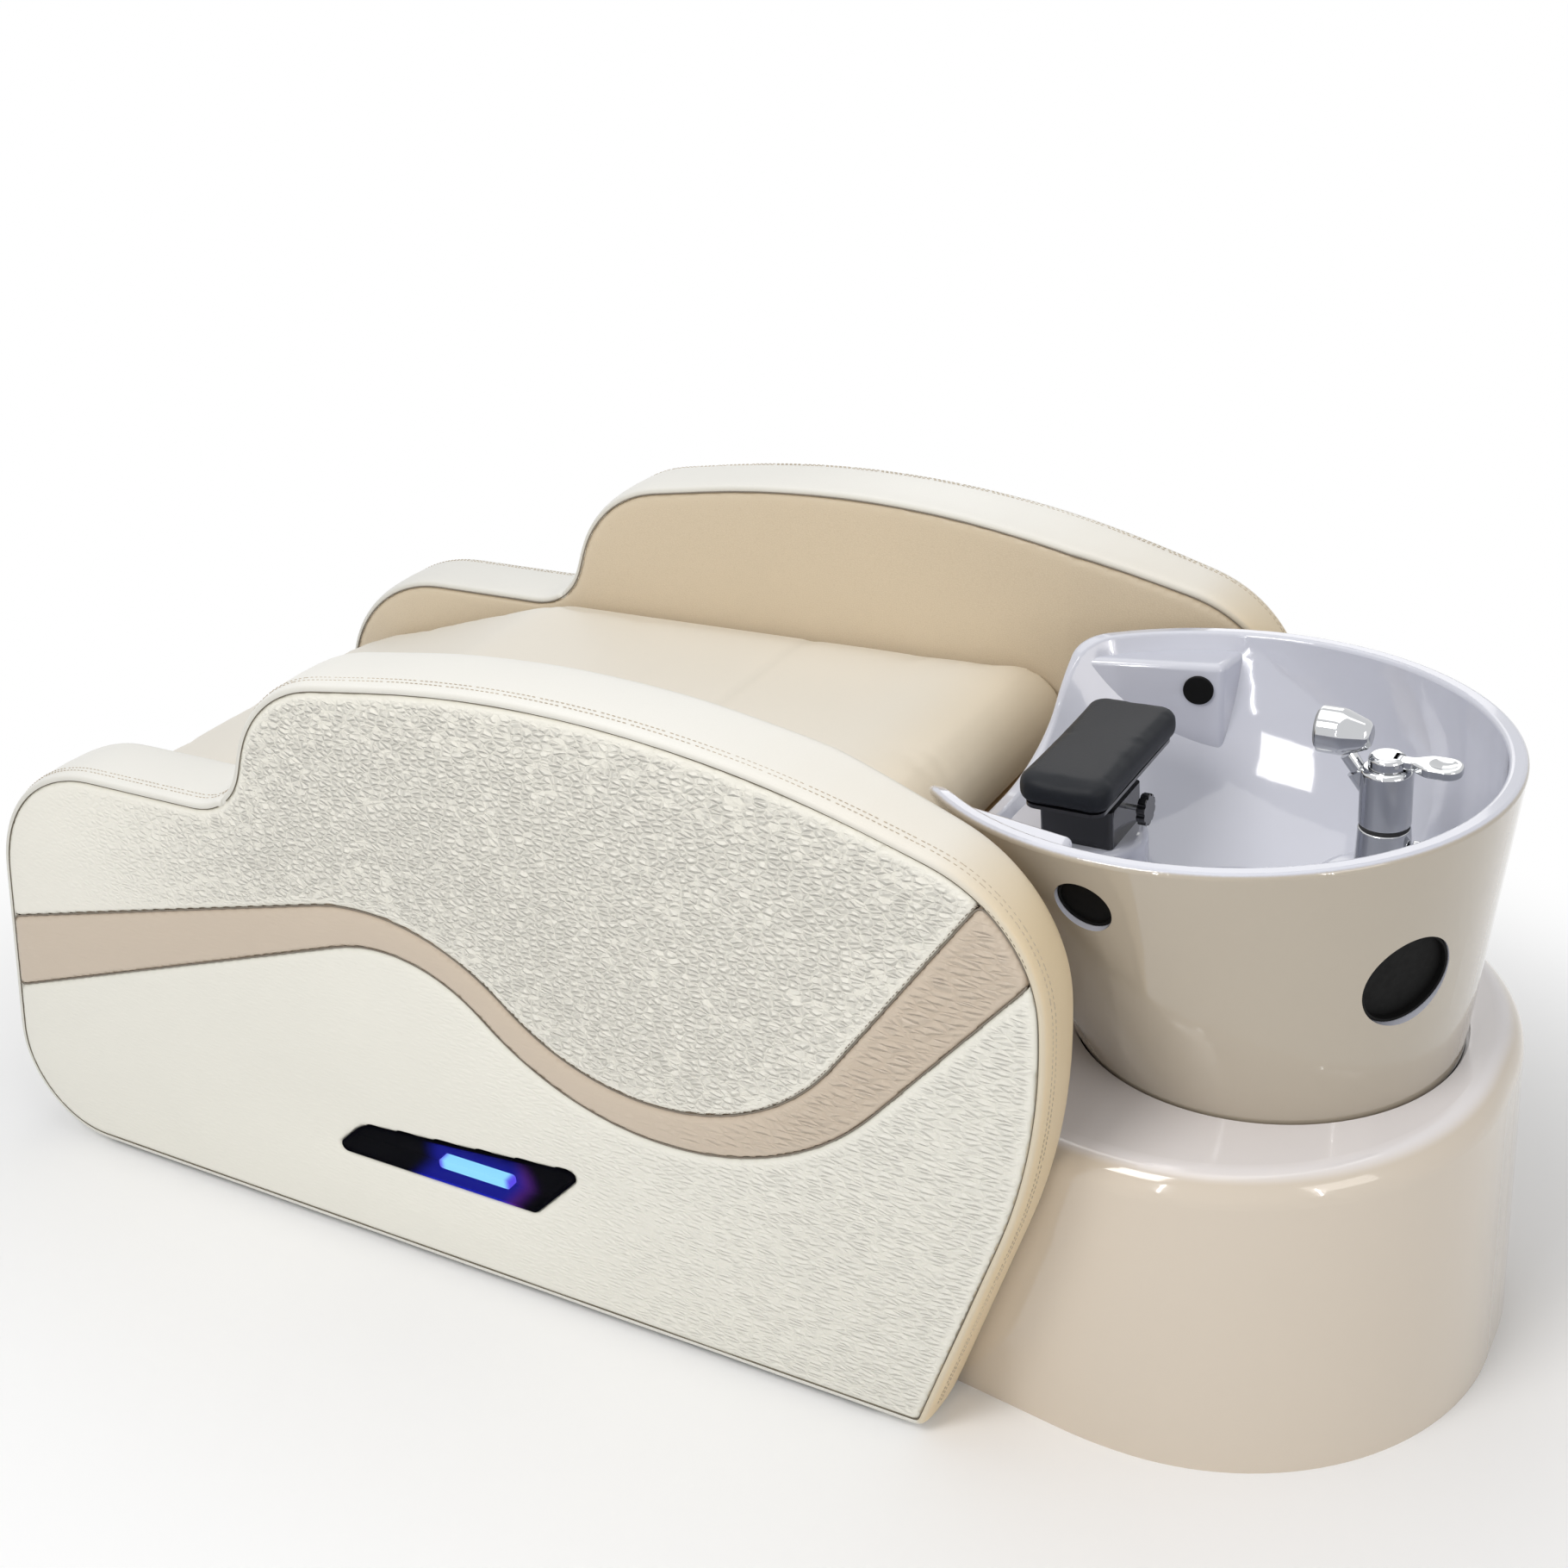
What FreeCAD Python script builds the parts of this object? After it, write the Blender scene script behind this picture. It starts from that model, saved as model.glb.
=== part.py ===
import FreeCAD, Part
import math
import os

# Lie-flat shampoo bed: a padded bed between two side panels, and a basin on a pedestal at the head end.
# X runs from the foot end to the basin, Y across the bed, Z up from the floor. Sizes in mm and degrees.
SIZES = {
    # Side panels: outline seen from the side, from the foot end to the basin end
    "bed_length": 1436,
    "bed_width": 760,
    "panel_thickness": 100,
    "rear_taper": 36,
    "panel_bottom": 10,
    "foot_corner_radius": 121,
    "foot_lean": 11,
    "shelf_height": 553,
    "shelf_corner_radius": 192,
    "arm_setback": 461,
    "arm_lean": 20.3,
    "notch_radius": 78,
    "arm_corner_radius": 157,
    "crest_setback": 999,
    "crest_height": 782,
    "crest_rise": 7.8,
    "crest_fall": 18.2,
    "crest_radius": 1337,
    "rear_corner_radius": 157,
    "rear_bend_height": 390,
    "rear_bend_radius": 707,
    "rear_lean": 21,
    "heel_radius": 14,
    # Side panels: layers
    "band_thickness": 8,
    "band_edge_radius": 6,
    "seam_gap": 0.4,
    "face_pad_thickness": 12,
    "inner_pad_thickness": 10,
    "kick_height": 6,
    "kick_inset": 12,
    "kick_foot_gap": 145,
    "kick_rear_gap": 60,
    # Wave band across the outer face: a crest, a trough and the slopes between
    "wave_crest_setback": 705,
    "wave_crest_height": 491,
    "wave_crest_radius": 270,
    "wave_rise": 14.2,
    "wave_trough_setback": 1039,
    "wave_trough_height": 191,
    "wave_trough_radius": 266,
    "wave_climb": 53,
    "under_crest_setback": 700,
    "under_crest_height": 445,
    "under_crest_radius": 192,
    "under_rise": 18.5,
    "under_trough_setback": 1031,
    "under_trough_height": 130,
    "under_trough_radius": 325,
    "under_climb": 48.2,
    # Side light
    "light_setback": 531,
    "light_height": 125,
    "light_length": 365,
    "light_rise": 73,
    "light_base_length": 292,
    "light_crown_setback": 51,
    "light_crown_rise": 45,
    "light_tip_radius": 8,
    "light_heel_radius": 12,
    "light_crown_radius": 40,
    "light_depth": 30,
    "light_wall": 2.5,
    "light_clearance": 0.3,
    "lens_thickness": 3,
    "bar_setback": 146,
    "bar_length": 100,
    "bar_thickness": 12,
    "bar_lift": 3,
    "bar_corner_radius": 4,
    # Mattress and decks
    "seat_height": 562,
    "mattress_thickness": 80,
    "mattress_side_gap": 2,
    "mattress_foot_setback": 81,
    "mattress_rear_setback": 240,
    "mattress_corner_radius": 90,
    "mattress_roll_radius": 65,
    "mattress_foot_radius": 38,
    "mattress_edge_radius": 14,
    "mattress_bend_radius": 60,
    "mattress_rear_radius": 25,
    "knee_setback": 469,
    "knee_radius": 160,
    "leg_slope": 17.4,
    "deck_thickness": 15,
    "deck_side_gap": 10,
    "deck_knee_gap": 20,
    "deck_foot_gap": 15,
    # Timber frame and feet
    "timber_width": 45,
    "rail_depth": 70,
    "rail_height": 30,
    "board_thickness": 18,
    "board_setback": 150,
    "foot_pad_radius": 23,
    "foot_pad_height": 9,
    "foot_cone_height": 13.5,
    "foot_edge_radius": 2,
    "foot_stem_radius": 6,
    "bolt_radius": 5,
    "bolt_clearance": 0.5,
    "bolt_head_radius": 8.5,
    "bolt_head_height": 6,
    "bolt_edge_radius": 1,
    "bolt_grip": 30,
    "post_bolt_height": 280,
    "rail_bolt_offset": 200,
    # Pedestal
    "pedestal_setback": 50,
    "pedestal_side_gap": 4,
    "pedestal_front": 249,
    "pedestal_height": 344,
    "pedestal_edge_radius": 30,
    "pedestal_wall": 6,
    "pedestal_top": 16,
    "pedestal_corner_radius": 20,
    "pedestal_side_radius": 400,
    "pedestal_rear_radius": 290,
    "pedestal_seat_width": 46,
    "stand_ring_height": 6,
    "stand_ring_radius": 190,
    "stand_leg": 30,
    "pedestal_bolt_pitch": 110,
    # Basin
    "rim_setback": 13,
    "rim_overhang": 4,
    "rim_stretch": 18,
    "rim_height": 647,
    "rim_wall": 22,
    "rim_trim": 20,
    "rim_clear": 60,
    "rim_lip_radius": 5,
    "basin_foot_setback": 79,
    "basin_foot_margin": 80,
    "seat_recess": 8,
    "seat_clearance": 4,
    "gasket_thickness": 3,
    "gasket_width": 14,
    "bowl_bottom": 440,
    "bowl_floor_half_length": 130,
    "bowl_floor_half_width": 120,
    "bowl_floor_setback": 53,
    "bowl_mid_height": 520,
    "bowl_mid_inset": 68,
    "bowl_mid_stretch": 15,
    "bowl_mid_setback": 35,
    "basin_base": 16,
    "cavity_wall": 26,
    "neck_bottom": 529,
    "neck_floor": 169,
    "neck_slope": 48,
    "neck_floor_radius": 180,
    "neck_corner_radius": 50,
    "ledge_height": 520,
    "ledge_thickness": 15,
    "ledge_radius": 70,
    "ledge_edge_radius": 10,
    "neck_ledge_radius": 60,
    "faucet_pocket_radius": 45,
    "neck_pocket_radius": 30,
    "port_height": 627,
    "port_depth": 105,
    "port_start_setback": 190,
    "port_start_inset": 104,
    "port_end_setback": 43,
    "port_end_inset": 74,
    "port_end_lean": 12,
    "port_edge_radius": 8,
    "cap_radius": 16.5,
    "cap_height": 4,
    "cap_edge_radius": 1,
    "cap_setback": 68,
    "cap_drop": 29,
    "front_cover_radius": 29,
    "front_cover_height": 585,
    "front_cover_angle": 98,
    "rear_cover_radius": 49,
    "rear_cover_height": 498,
    "rear_cover_angle": 34,
    "front_cover_depth": 12,
    "rear_cover_depth": 16,
    "cover_rim_depth": 6,
    "cover_wall": 3,
    "cover_edge_radius": 1,
    "cover_clearance": 0.3,
    # Drain
    "drain_radius": 24,
    "drain_wall": 4,
    "drain_flange_radius": 37,
    "drain_flange_height": 3,
    "drain_edge_radius": 2,
    "drain_length": 70,
    "drain_clearance": 0.3,
    "drain_nut_radius": 35,
    "drain_nut_height": 12,
    "tail_wall": 2.5,
    "tail_bottom": 40,
    # Mixer
    "faucet_setback": 190,
    "faucet_base_radius": 28,
    "faucet_base_height": 61,
    "faucet_flange_radius": 31,
    "faucet_flange_height": 6,
    "faucet_flare_height": 12,
    "faucet_flare_radius": 4,
    "faucet_edge_radius": 2,
    "faucet_shank_radius": 15,
    "faucet_shank_length": 60,
    "faucet_nut_radius": 24,
    "faucet_nut_height": 10,
    "faucet_radius": 25,
    "faucet_seal_height": 4,
    "faucet_seal_inset": 1,
    "faucet_body_height": 60,
    "faucet_crown_radius": 6,
    "faucet_clearance": 0.4,
    "socket_radius": 12,
    "socket_start": 15,
    "socket_length": 46,
    "socket_depth": 25,
    "socket_lean": 36,
    "handset_neck_radius": 8,
    "handset_neck_reach": 18,
    "handset_setback": 15,
    "handset_rise": 74,
    "handset_back_radius": 13,
    "handset_back_rounding": 9,
    "handset_flare": 27,
    "handset_flare_rounding": 24,
    "handset_head_radius": 23,
    "handset_head_length": 50,
    "spray_face_radius": 19,
    "spray_face_height": 2.5,
    "spray_edge_radius": 1,
    "hub_radius": 18,
    "hub_height": 12,
    "hub_crown_radius": 5,
    "lever_pin_radius": 2,
    "lever_pin_offset": 12,
    "lever_tongue_radius": 5,
    "lever_slot_width": 14,
    "lever_reach": 58,
    "lever_width": 34,
    "lever_thickness": 10,
    "lever_stalk_length": 12,
    "lever_flare_length": 27,
    "lever_flare_radius": 10,
    "lever_tip_radius": 15,
    "lever_edge_radius": 2.5,
    "lever_dish_radius": 30,
    "lever_dish_depth": 3,
    "lever_dish_setback": 18,
    "diverter_radius": 9,
    "diverter_length": 14,
    "diverter_stem_radius": 3,
    "diverter_height": 41,
    "knob_edge_radius": 1,
    # Headrest
    "headrest_setback": 112,
    "bracket_length": 80,
    "bracket_width": 84,
    "bracket_height": 42,
    "bracket_edge_radius": 6,
    "bracket_stud_radius": 8,
    "bracket_stud_length": 45,
    "bracket_nut_radius": 15,
    "bracket_nut_height": 12,
    "ear_thickness": 14,
    "hinge_height": 55,
    "hinge_radius": 8,
    "hinge_pin_radius": 4,
    "hinge_clearance": 0.3,
    "pin_fit": 0.1,
    "plate_rise": 12,
    "plate_thickness": 4,
    "plate_inset": 8,
    "headrest_length": 100,
    "headrest_width": 222,
    "headrest_thickness": 32,
    "headrest_corner_radius": 22,
    "headrest_edge_radius": 12,
    "headrest_shift": 11,
    "lock_screw_radius": 3,
    "lock_screw_grip": 20,
    "lock_screw_reach": 16,
    "lock_height": 32,
    "lock_knob_radius": 17,
    "lock_knob_thickness": 9,
    "knob_scallops": 10,
    "scallop_radius": 2.5,
    # Lamp supply
    "driver_length": 120,
    "driver_width": 50,
    "driver_height": 30,
}

# Share of a side that its two roundings may fill, and the least rounding of an inset corner
FILL = 0.999
LEAST_ROUNDING = 0.1

VEC = FreeCAD.Vector
UP = VEC(0, 0, 1)
ALONG = VEC(1, 0, 0)
ACROSS = VEC(0, 1, 0)

doc = FreeCAD.newDocument("backwash_unit")
sheet = doc.addObject("Spreadsheet::Sheet", "Sizes")
for row, (alias, number) in enumerate(SIZES.items(), start=1):
    sheet.set(f"A{row}", alias)
    sheet.set(f"B{row}", str(number))
    sheet.setAlias(f"B{row}", alias)
doc.recompute()

nodes = []


def value(expression):
    """Number that an expression of sheet cells gives."""
    result = sheet.evalExpression(expression)
    return float(getattr(result, "Value", result))


def size(alias):
    """Number in one cell of the sheet."""
    return value(f"Sizes.{alias}")


def slope(alias):
    """Angle of one cell, in radians."""
    return math.radians(size(alias))


# Places that several pieces share, as expressions of the sheet
INNER = "(Sizes.bed_width / 2 - Sizes.panel_thickness)"
PEDESTAL_HALF = f"({INNER} - Sizes.pedestal_side_gap)"
FOOT = f"(-(Sizes.bed_length + Sizes.pedestal_setback + {PEDESTAL_HALF}) / 2)"
REAR = f"({FOOT} + Sizes.bed_length)"
CORE_OUT = "(Sizes.bed_width / 2 - Sizes.face_pad_thickness)"
CORE_IN = f"({INNER} + Sizes.inner_pad_thickness)"
SEAT_UNDER = "(Sizes.seat_height - Sizes.mattress_thickness)"
DECK_UNDER = f"({SEAT_UNDER} - Sizes.deck_thickness)"
PEDESTAL_X = f"({REAR} + Sizes.pedestal_setback)"
PEDESTAL_FRONT = f"({REAR} - Sizes.pedestal_front)"
RIM_X = f"({REAR} + Sizes.rim_setback)"
BASIN_X = f"({REAR} + Sizes.basin_foot_setback)"
BASIN_RADIUS = f"({PEDESTAL_HALF} - Sizes.basin_foot_margin)"
HOLE_RADIUS = f"({BASIN_RADIUS} - Sizes.pedestal_seat_width)"
RIM_HALF = f"({INNER} + Sizes.rim_overhang)"
RIM_LONG = f"({RIM_HALF} + Sizes.rim_stretch)"
BESIDE_RIM = f"({RIM_HALF} + Sizes.rim_clear)"
MID_HALF = f"({RIM_HALF} - Sizes.bowl_mid_inset)"
BASIN_FOOT = "(Sizes.pedestal_height - Sizes.seat_recess + Sizes.gasket_thickness)"
DRAIN_X = f"({REAR} + Sizes.bowl_floor_setback)"
FAUCET_X = f"({REAR} + Sizes.faucet_setback)"
HEADREST_X = f"({REAR} - Sizes.headrest_setback)"
HINGE_Z = "(Sizes.ledge_height + Sizes.hinge_height)"
POCKET_TOP = "(Sizes.ledge_height - Sizes.ledge_thickness)"


def meet(point, direction, other, other_direction):
    """Where two lines of a drawing cross."""
    across = direction.x * other_direction.y - direction.y * other_direction.x
    gap = other - point
    run = (gap.x * other_direction.y - gap.y * other_direction.x) / across
    return point + direction * run


def corner(point, radius=0.0):
    """A corner of an outline: x, y and its rounding."""
    return (point.x, point.y, radius)


def edges_of(corners):
    """Points and unit directions of a closed outline."""
    points = [VEC(x, y, 0) for x, y, _ in corners]
    directions = []
    for index, point in enumerate(points):
        step = points[(index + 1) % len(points)] - point
        directions.append(step.normalize())
    return points, directions


def inset(corners, distance):
    """Outline moved inwards, drawn anticlockwise."""
    points, directions = edges_of(corners)
    result = []
    for index, point in enumerate(points):
        before = directions[index - 1]
        after = directions[index]
        start = point + VEC(-before.y, before.x, 0) * distance
        end = point + VEC(-after.y, after.x, 0) * distance
        turn = before.x * after.y - before.y * after.x
        radius = corners[index][2]
        if radius > 0:
            radius = max(radius - math.copysign(distance, turn), LEAST_ROUNDING)
        result.append(corner(meet(start, before, end, after), radius))
    return result


def rounded(corners):
    """Lines and arcs of a closed outline, each rounding held within its two sides."""
    points, directions = edges_of(corners)
    count = len(points)
    halves = []
    reaches = []
    for index in range(count):
        before = directions[index - 1]
        after = directions[index]
        half = before.getAngle(after) / 2
        halves.append(half)
        reaches.append(corners[index][2] * math.tan(half))
    limits = list(reaches)
    for index in range(count):
        following = (index + 1) % count
        room = points[index].distanceToPoint(points[following]) * FILL
        wanted = reaches[index] + reaches[following]
        if wanted > room:
            limits[index] = min(limits[index], reaches[index] * room / wanted)
            limits[following] = min(limits[following], reaches[following] * room / wanted)
    curves = []
    ends = []
    for index, point in enumerate(points):
        reach = limits[index]
        start = point - directions[index - 1] * reach
        end = point + directions[index] * reach
        ends.append((start, end))
        if reach > 0:
            radius = reach / math.tan(halves[index])
            towards = (directions[index] - directions[index - 1]).normalize()
            middle = point + towards * (radius / math.cos(halves[index]) - radius)
            curves.append(Part.Arc(start, middle, end))
    for index in range(count):
        start = ends[index][1]
        end = ends[(index + 1) % count][0]
        if start.distanceToPoint(end) > 1e-6:
            curves.append(Part.LineSegment(start, end))
    return curves


def rectangle(left, bottom, right, top, radius=0.0):
    """Outline of a rectangle."""
    return [(left, bottom, radius), (right, bottom, radius), (right, top, radius), (left, top, radius)]


def node(label, piece):
    """Names a finished piece, which gets a file of its own."""
    piece.Label = label
    nodes.append(piece)
    return piece


def put(piece, x="0", y="0", z="0"):
    """Binds a piece's place to the sheet."""
    for axis, expression in zip("xyz", (x, y, z)):
        piece.setExpression(f"Placement.Base.{axis}", expression)
    return piece


def sketched(name, plane, outlines):
    """Body with one sketch of closed outlines on an origin plane."""
    body = doc.addObject("PartDesign::Body", name)
    sketch = body.newObject("Sketcher::SketchObject", f"{name}_sketch")
    support = [item for item in body.Origin.OriginFeatures if item.Role == plane][0]
    sketch.AttachmentSupport = [(support, "")]
    sketch.MapMode = "FlatFace"
    for outline in outlines:
        for curve in outline:
            sketch.addGeometry(curve)
    return body, sketch


def padded(name, plane, outlines, length, x="0", y="0", z="0"):
    """Prism: on XZ it grows towards -Y, on XY upwards, on YZ towards +X."""
    body, sketch = sketched(name, plane, outlines)
    pad = body.newObject("PartDesign::Pad", f"{name}_pad")
    pad.Profile = sketch
    pad.setExpression("Length", length)
    return put(body, x, y, z)


def turned(name, profile, x="0", y="0", z="0", axis=UP):
    """Turned piece: profile of radius and height, about its own axis."""
    body, sketch = sketched(name, "XZ_Plane", [rounded(profile)])
    revolution = body.newObject("PartDesign::Revolution", f"{name}_turn")
    revolution.Profile = sketch
    revolution.ReferenceAxis = (sketch, ["V_Axis"])
    revolution.Angle = 360
    body.Placement = FreeCAD.Placement(VEC(), FreeCAD.Rotation(UP, axis))
    return put(body, x, y, z)


def block(name, length, width, height, x="0", y="0", z="0"):
    """Box with its lowest corner at x, y, z."""
    piece = doc.addObject("Part::Box", name)
    piece.setExpression("Length", length)
    piece.setExpression("Width", width)
    piece.setExpression("Height", height)
    return put(piece, x, y, z)


def rod(name, radius, length, x="0", y="0", z="0", axis=UP):
    """Cylinder from x, y, z along an axis."""
    piece = doc.addObject("Part::Cylinder", name)
    piece.setExpression("Radius", radius)
    piece.setExpression("Height", length)
    piece.Placement = FreeCAD.Placement(VEC(), FreeCAD.Rotation(UP, axis))
    return put(piece, x, y, z)


def ball(name, radius, x="0", y="0", z="0"):
    """Sphere about x, y, z."""
    piece = doc.addObject("Part::Sphere", name)
    piece.setExpression("Radius", radius)
    return put(piece, x, y, z)


def fused(name, *pieces):
    """One solid of pieces that run into each other."""
    result = doc.addObject("Part::MultiFuse", name)
    result.Shapes = list(pieces)
    result.Refine = True
    return result


def cut(name, base, *tools):
    """Piece with one or more tools taken out."""
    result = doc.addObject("Part::Cut", name)
    result.Base = base
    result.Tool = tools[0] if len(tools) == 1 else fused(f"{name}_tools", *tools)
    return result


def shared(name, piece, other):
    """What two pieces have in common."""
    result = doc.addObject("Part::MultiCommon", name)
    result.Shapes = [piece, other]
    return result


def filleted(name, base, radius, chosen):
    """Rounds the edges that a test picks."""
    doc.recompute()
    picks = [index for index, edge in enumerate(base.Shape.Edges, start=1) if chosen(edge)]
    result = doc.addObject("Part::Fillet", name)
    result.Base = base
    result.Edges = [(index, radius, radius) for index in picks]
    return result


def mirrored(name, source):
    """The same piece on the other side of the bed."""
    result = doc.addObject("Part::Mirroring", name)
    result.Source = source
    result.Normal = ACROSS
    return result


def gathered(name, *pieces):
    """Separate solids in one node."""
    result = doc.addObject("Part::Compound", name)
    result.Links = list(pieces)
    return result


def repeated(name, source, places):
    """Separate copies of one piece."""
    doc.recompute()
    copies = []
    for place in places:
        shape = source.Shape.copy()
        shape.Placement = place.multiply(source.Shape.Placement)
        copies.append(shape)
    result = doc.addObject("Part::Feature", name)
    result.Shape = Part.makeCompound(copies)
    return result


def at(x, y, z, axis=UP):
    """Placement at a point, with a piece's own axis turned to face a direction."""
    return FreeCAD.Placement(VEC(x, y, z), FreeCAD.Rotation(UP, axis))


# Outlines of the side panels


def panel_outline():
    """Crown line of a side panel, anticlockwise from the lower foot corner."""
    foot = value(FOOT)
    floor = VEC(foot, size("panel_bottom"), 0)
    shelf = VEC(foot, size("shelf_height"), 0)
    radius = size("foot_corner_radius")
    lean = slope("foot_lean")
    foot_line = floor + VEC(radius, radius, 0) + VEC(-math.cos(lean), math.sin(lean), 0) * radius
    foot_way = VEC(math.sin(lean), math.cos(lean), 0)
    arm = shelf + VEC(size("arm_setback"), 0, 0)
    arm_way = VEC(math.sin(slope("arm_lean")), math.cos(slope("arm_lean")), 0)
    crest = VEC(foot + size("crest_setback"), size("crest_height"), 0)
    rise = VEC(math.cos(slope("crest_rise")), math.sin(slope("crest_rise")), 0)
    fall = VEC(math.cos(slope("crest_fall")), -math.sin(slope("crest_fall")), 0)
    bend = VEC(value(REAR), size("rear_bend_height"), 0)
    under = VEC(-math.sin(slope("rear_lean")), -math.cos(slope("rear_lean")), 0)
    level = VEC(1, 0, 0)
    upright = VEC(0, 1, 0)
    return [
        corner(meet(foot_line, foot_way, floor, level), radius),
        corner(meet(bend, under, floor, level), size("heel_radius")),
        corner(bend, size("rear_bend_radius")),
        corner(meet(crest, fall, bend, upright), size("rear_corner_radius")),
        corner(crest, size("crest_radius")),
        corner(meet(crest, rise, arm, arm_way), size("arm_corner_radius")),
        corner(arm, size("notch_radius")),
        corner(meet(foot_line, foot_way, shelf, level), size("shelf_corner_radius")),
    ]


def wave_line(which, shift):
    """Corners of one edge of the wave band, from beyond the foot end to beyond the rear."""
    foot = value(FOOT)
    lift = VEC(0, shift, 0)
    crest = VEC(foot + size(f"{which}_crest_setback"), size(f"{which}_crest_height"), 0) + lift
    trough = VEC(foot + size(f"{which}_trough_setback"), size(f"{which}_trough_height"), 0) + lift
    start = crest - VEC(1, math.tan(slope(f"{which}_rise")), 0) * size("bed_length")
    end = trough + VEC(1, math.tan(slope(f"{which}_climb")), 0) * size("bed_length")
    return [
        corner(start),
        corner(crest, size(f"{which}_crest_radius")),
        corner(trough, size(f"{which}_trough_radius")),
        corner(end),
    ]


def beyond(corners, height):
    """Closes a wave line above or below the whole panel."""
    return [(corners[-1][0], height, 0.0), (corners[0][0], height, 0.0)]


def light_outline():
    """Opening of the side light: a long wedge with its tall end towards the basin."""
    left = value(FOOT) + size("light_setback")
    low = size("light_height")
    crown = (left + size("light_crown_setback"), low + size("light_crown_rise"))
    return [
        (left, low, size("light_tip_radius")),
        (left + size("light_base_length"), low, size("light_heel_radius")),
        (left + size("light_length"), low + size("light_rise"), size("light_tip_radius")),
        (*crown, size("light_crown_radius")),
    ]


panel = panel_outline()
face = inset(panel, size("band_thickness") + size("seam_gap"))
light = light_outline()
far_up = size("bed_length")
far_down = -far_up

# Side panels: a plywood core with a padded face on each side and a leather band round its edge
bolt_hole = "Sizes.bolt_radius + Sizes.bolt_clearance"
rail_bolt_z = value("Sizes.rail_height + Sizes.rail_depth / 2")
post_bolt_z = value("Sizes.post_bolt_height")
knee_post = value(f"{FOOT} + Sizes.knee_setback + Sizes.timber_width")
rear_post = value(f"{PEDESTAL_FRONT} - Sizes.timber_width / 2")
mid_post = (knee_post + rear_post) / 2
bolt_spots = [(x, post_bolt_z) for x in (knee_post, mid_post, rear_post)]
bolt_spots.append((knee_post - size("rail_bolt_offset"), rail_bolt_z))


def bolt_piece(name, shank):
    """Bolt standing on its head."""
    head = size("bolt_head_height")
    return turned(name, [
        (0, 0, 0),
        (size("bolt_head_radius"), 0, size("bolt_edge_radius")),
        (size("bolt_head_radius"), head, 0),
        (size("bolt_radius"), head, 0),
        (size("bolt_radius"), head + shank, 0),
        (0, head + shank, 0),
    ])


panel_bolt = bolt_piece("panel_bolt", value("Sizes.timber_width + Sizes.bolt_grip"))
bolt_start = value(f"{INNER} - Sizes.timber_width - Sizes.bolt_head_height")
left_bolts = repeated("bolts_left", panel_bolt, [
    at(x, -bolt_start, z, ACROSS * -1) for x, z in bolt_spots])


def bolt_bores(name, end):
    """Bores for the panel bolts, from the middle of the bed outwards to the left."""
    drill = rod(f"{name}_drill", bolt_hole, end)
    return repeated(name, drill, [at(x, 0, z, ACROSS * -1) for x, z in bolt_spots])


bolt_end = f"{INNER} + Sizes.bolt_grip + Sizes.bolt_clearance"
side_bores = bolt_bores("side_bores", bolt_end)
light_pocket = padded("light_pocket", "XZ_Plane", [rounded(inset(light, -size("light_clearance")))],
                      "Sizes.light_depth + Sizes.light_clearance",
                      y="-(Sizes.bed_width / 2 - Sizes.light_depth - Sizes.light_clearance)")

taper_start = value(PEDESTAL_FRONT)
taper_pitch = size("rear_taper") / size("pedestal_front")
panel_room = size("panel_thickness")


def taper_line(x, depth):
    """Sloping inside of a side panel beside the pedestal, at a depth into the panel."""
    return (x, -value(INNER) - depth - (x - taper_start) * taper_pitch, 0)


def rear_wedge(name, depth):
    """What the sloping inside takes off a side panel."""
    start = taper_line(taper_start - panel_room, depth)
    end = taper_line(value(REAR) + panel_room, depth)
    outline = [start, end, (end[0], start[1], 0)]
    return padded(name, "XY_Plane", [rounded(outline)], "Sizes.crest_height")


core_blank = padded("core_blank", "XZ_Plane", [rounded(face)], f"{CORE_OUT} - {CORE_IN}", y=f"-{CORE_IN}")
core_wedge = rear_wedge("core_wedge", size("inner_pad_thickness"))
core = cut("core", core_blank, light_pocket, side_bores, core_wedge)
node("side_core_left", core)

band_lines = [rounded(panel), rounded(inset(panel, size("band_thickness")))]
band_blank = padded("band_blank", "XZ_Plane", band_lines, "Sizes.panel_thickness", y=f"-{INNER}")


def on_crown(edge):
    """Edges of the band's outer line on its two faces."""
    low, high = edge.BoundBox.YMin, edge.BoundBox.YMax
    if high - low > 0.01:
        return False
    middle = edge.valueAt((edge.FirstParameter + edge.LastParameter) / 2)
    probe = Part.Vertex(VEC(middle.x, middle.z, 0))
    crown = Part.Wire(Part.__sortEdges__([curve.toShape() for curve in rounded(panel)]))
    return crown.distToShape(probe)[0] < size("band_thickness") / 2


soft_band = filleted("soft_band", band_blank, size("band_edge_radius"), on_crown)
inside_wedge = rear_wedge("inside_wedge", 0)
band = cut("band", soft_band, inside_wedge)
node("boxing_band_left", band)

half_width = "-(Sizes.bed_width / 2 - Sizes.face_pad_thickness)"
gap = size("seam_gap")


def face_piece(name, region):
    """Part of the padded outer face inside a region."""
    blank = padded(f"{name}_blank", "XZ_Plane", [rounded(face)], "Sizes.face_pad_thickness", y=half_width)
    area = padded(f"{name}_area", "XZ_Plane", [rounded(region)], "Sizes.face_pad_thickness", y=half_width)
    return shared(name, blank, area)


over = wave_line("wave", gap)
upper = face_piece("upper", over + beyond(over, far_up))
node("upper_pad_left", upper)
top_line = wave_line("wave", 0)
low_line = wave_line("under", 0)
ribbon = face_piece("ribbon", low_line + list(reversed(top_line)))
node("wave_band_left", ribbon)
under = wave_line("under", -gap)
lower_face = face_piece("lower_face", list(reversed(under + beyond(under, far_down))))
lower = cut("lower", lower_face, light_pocket)
node("lower_pad_left", lower)

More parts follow.
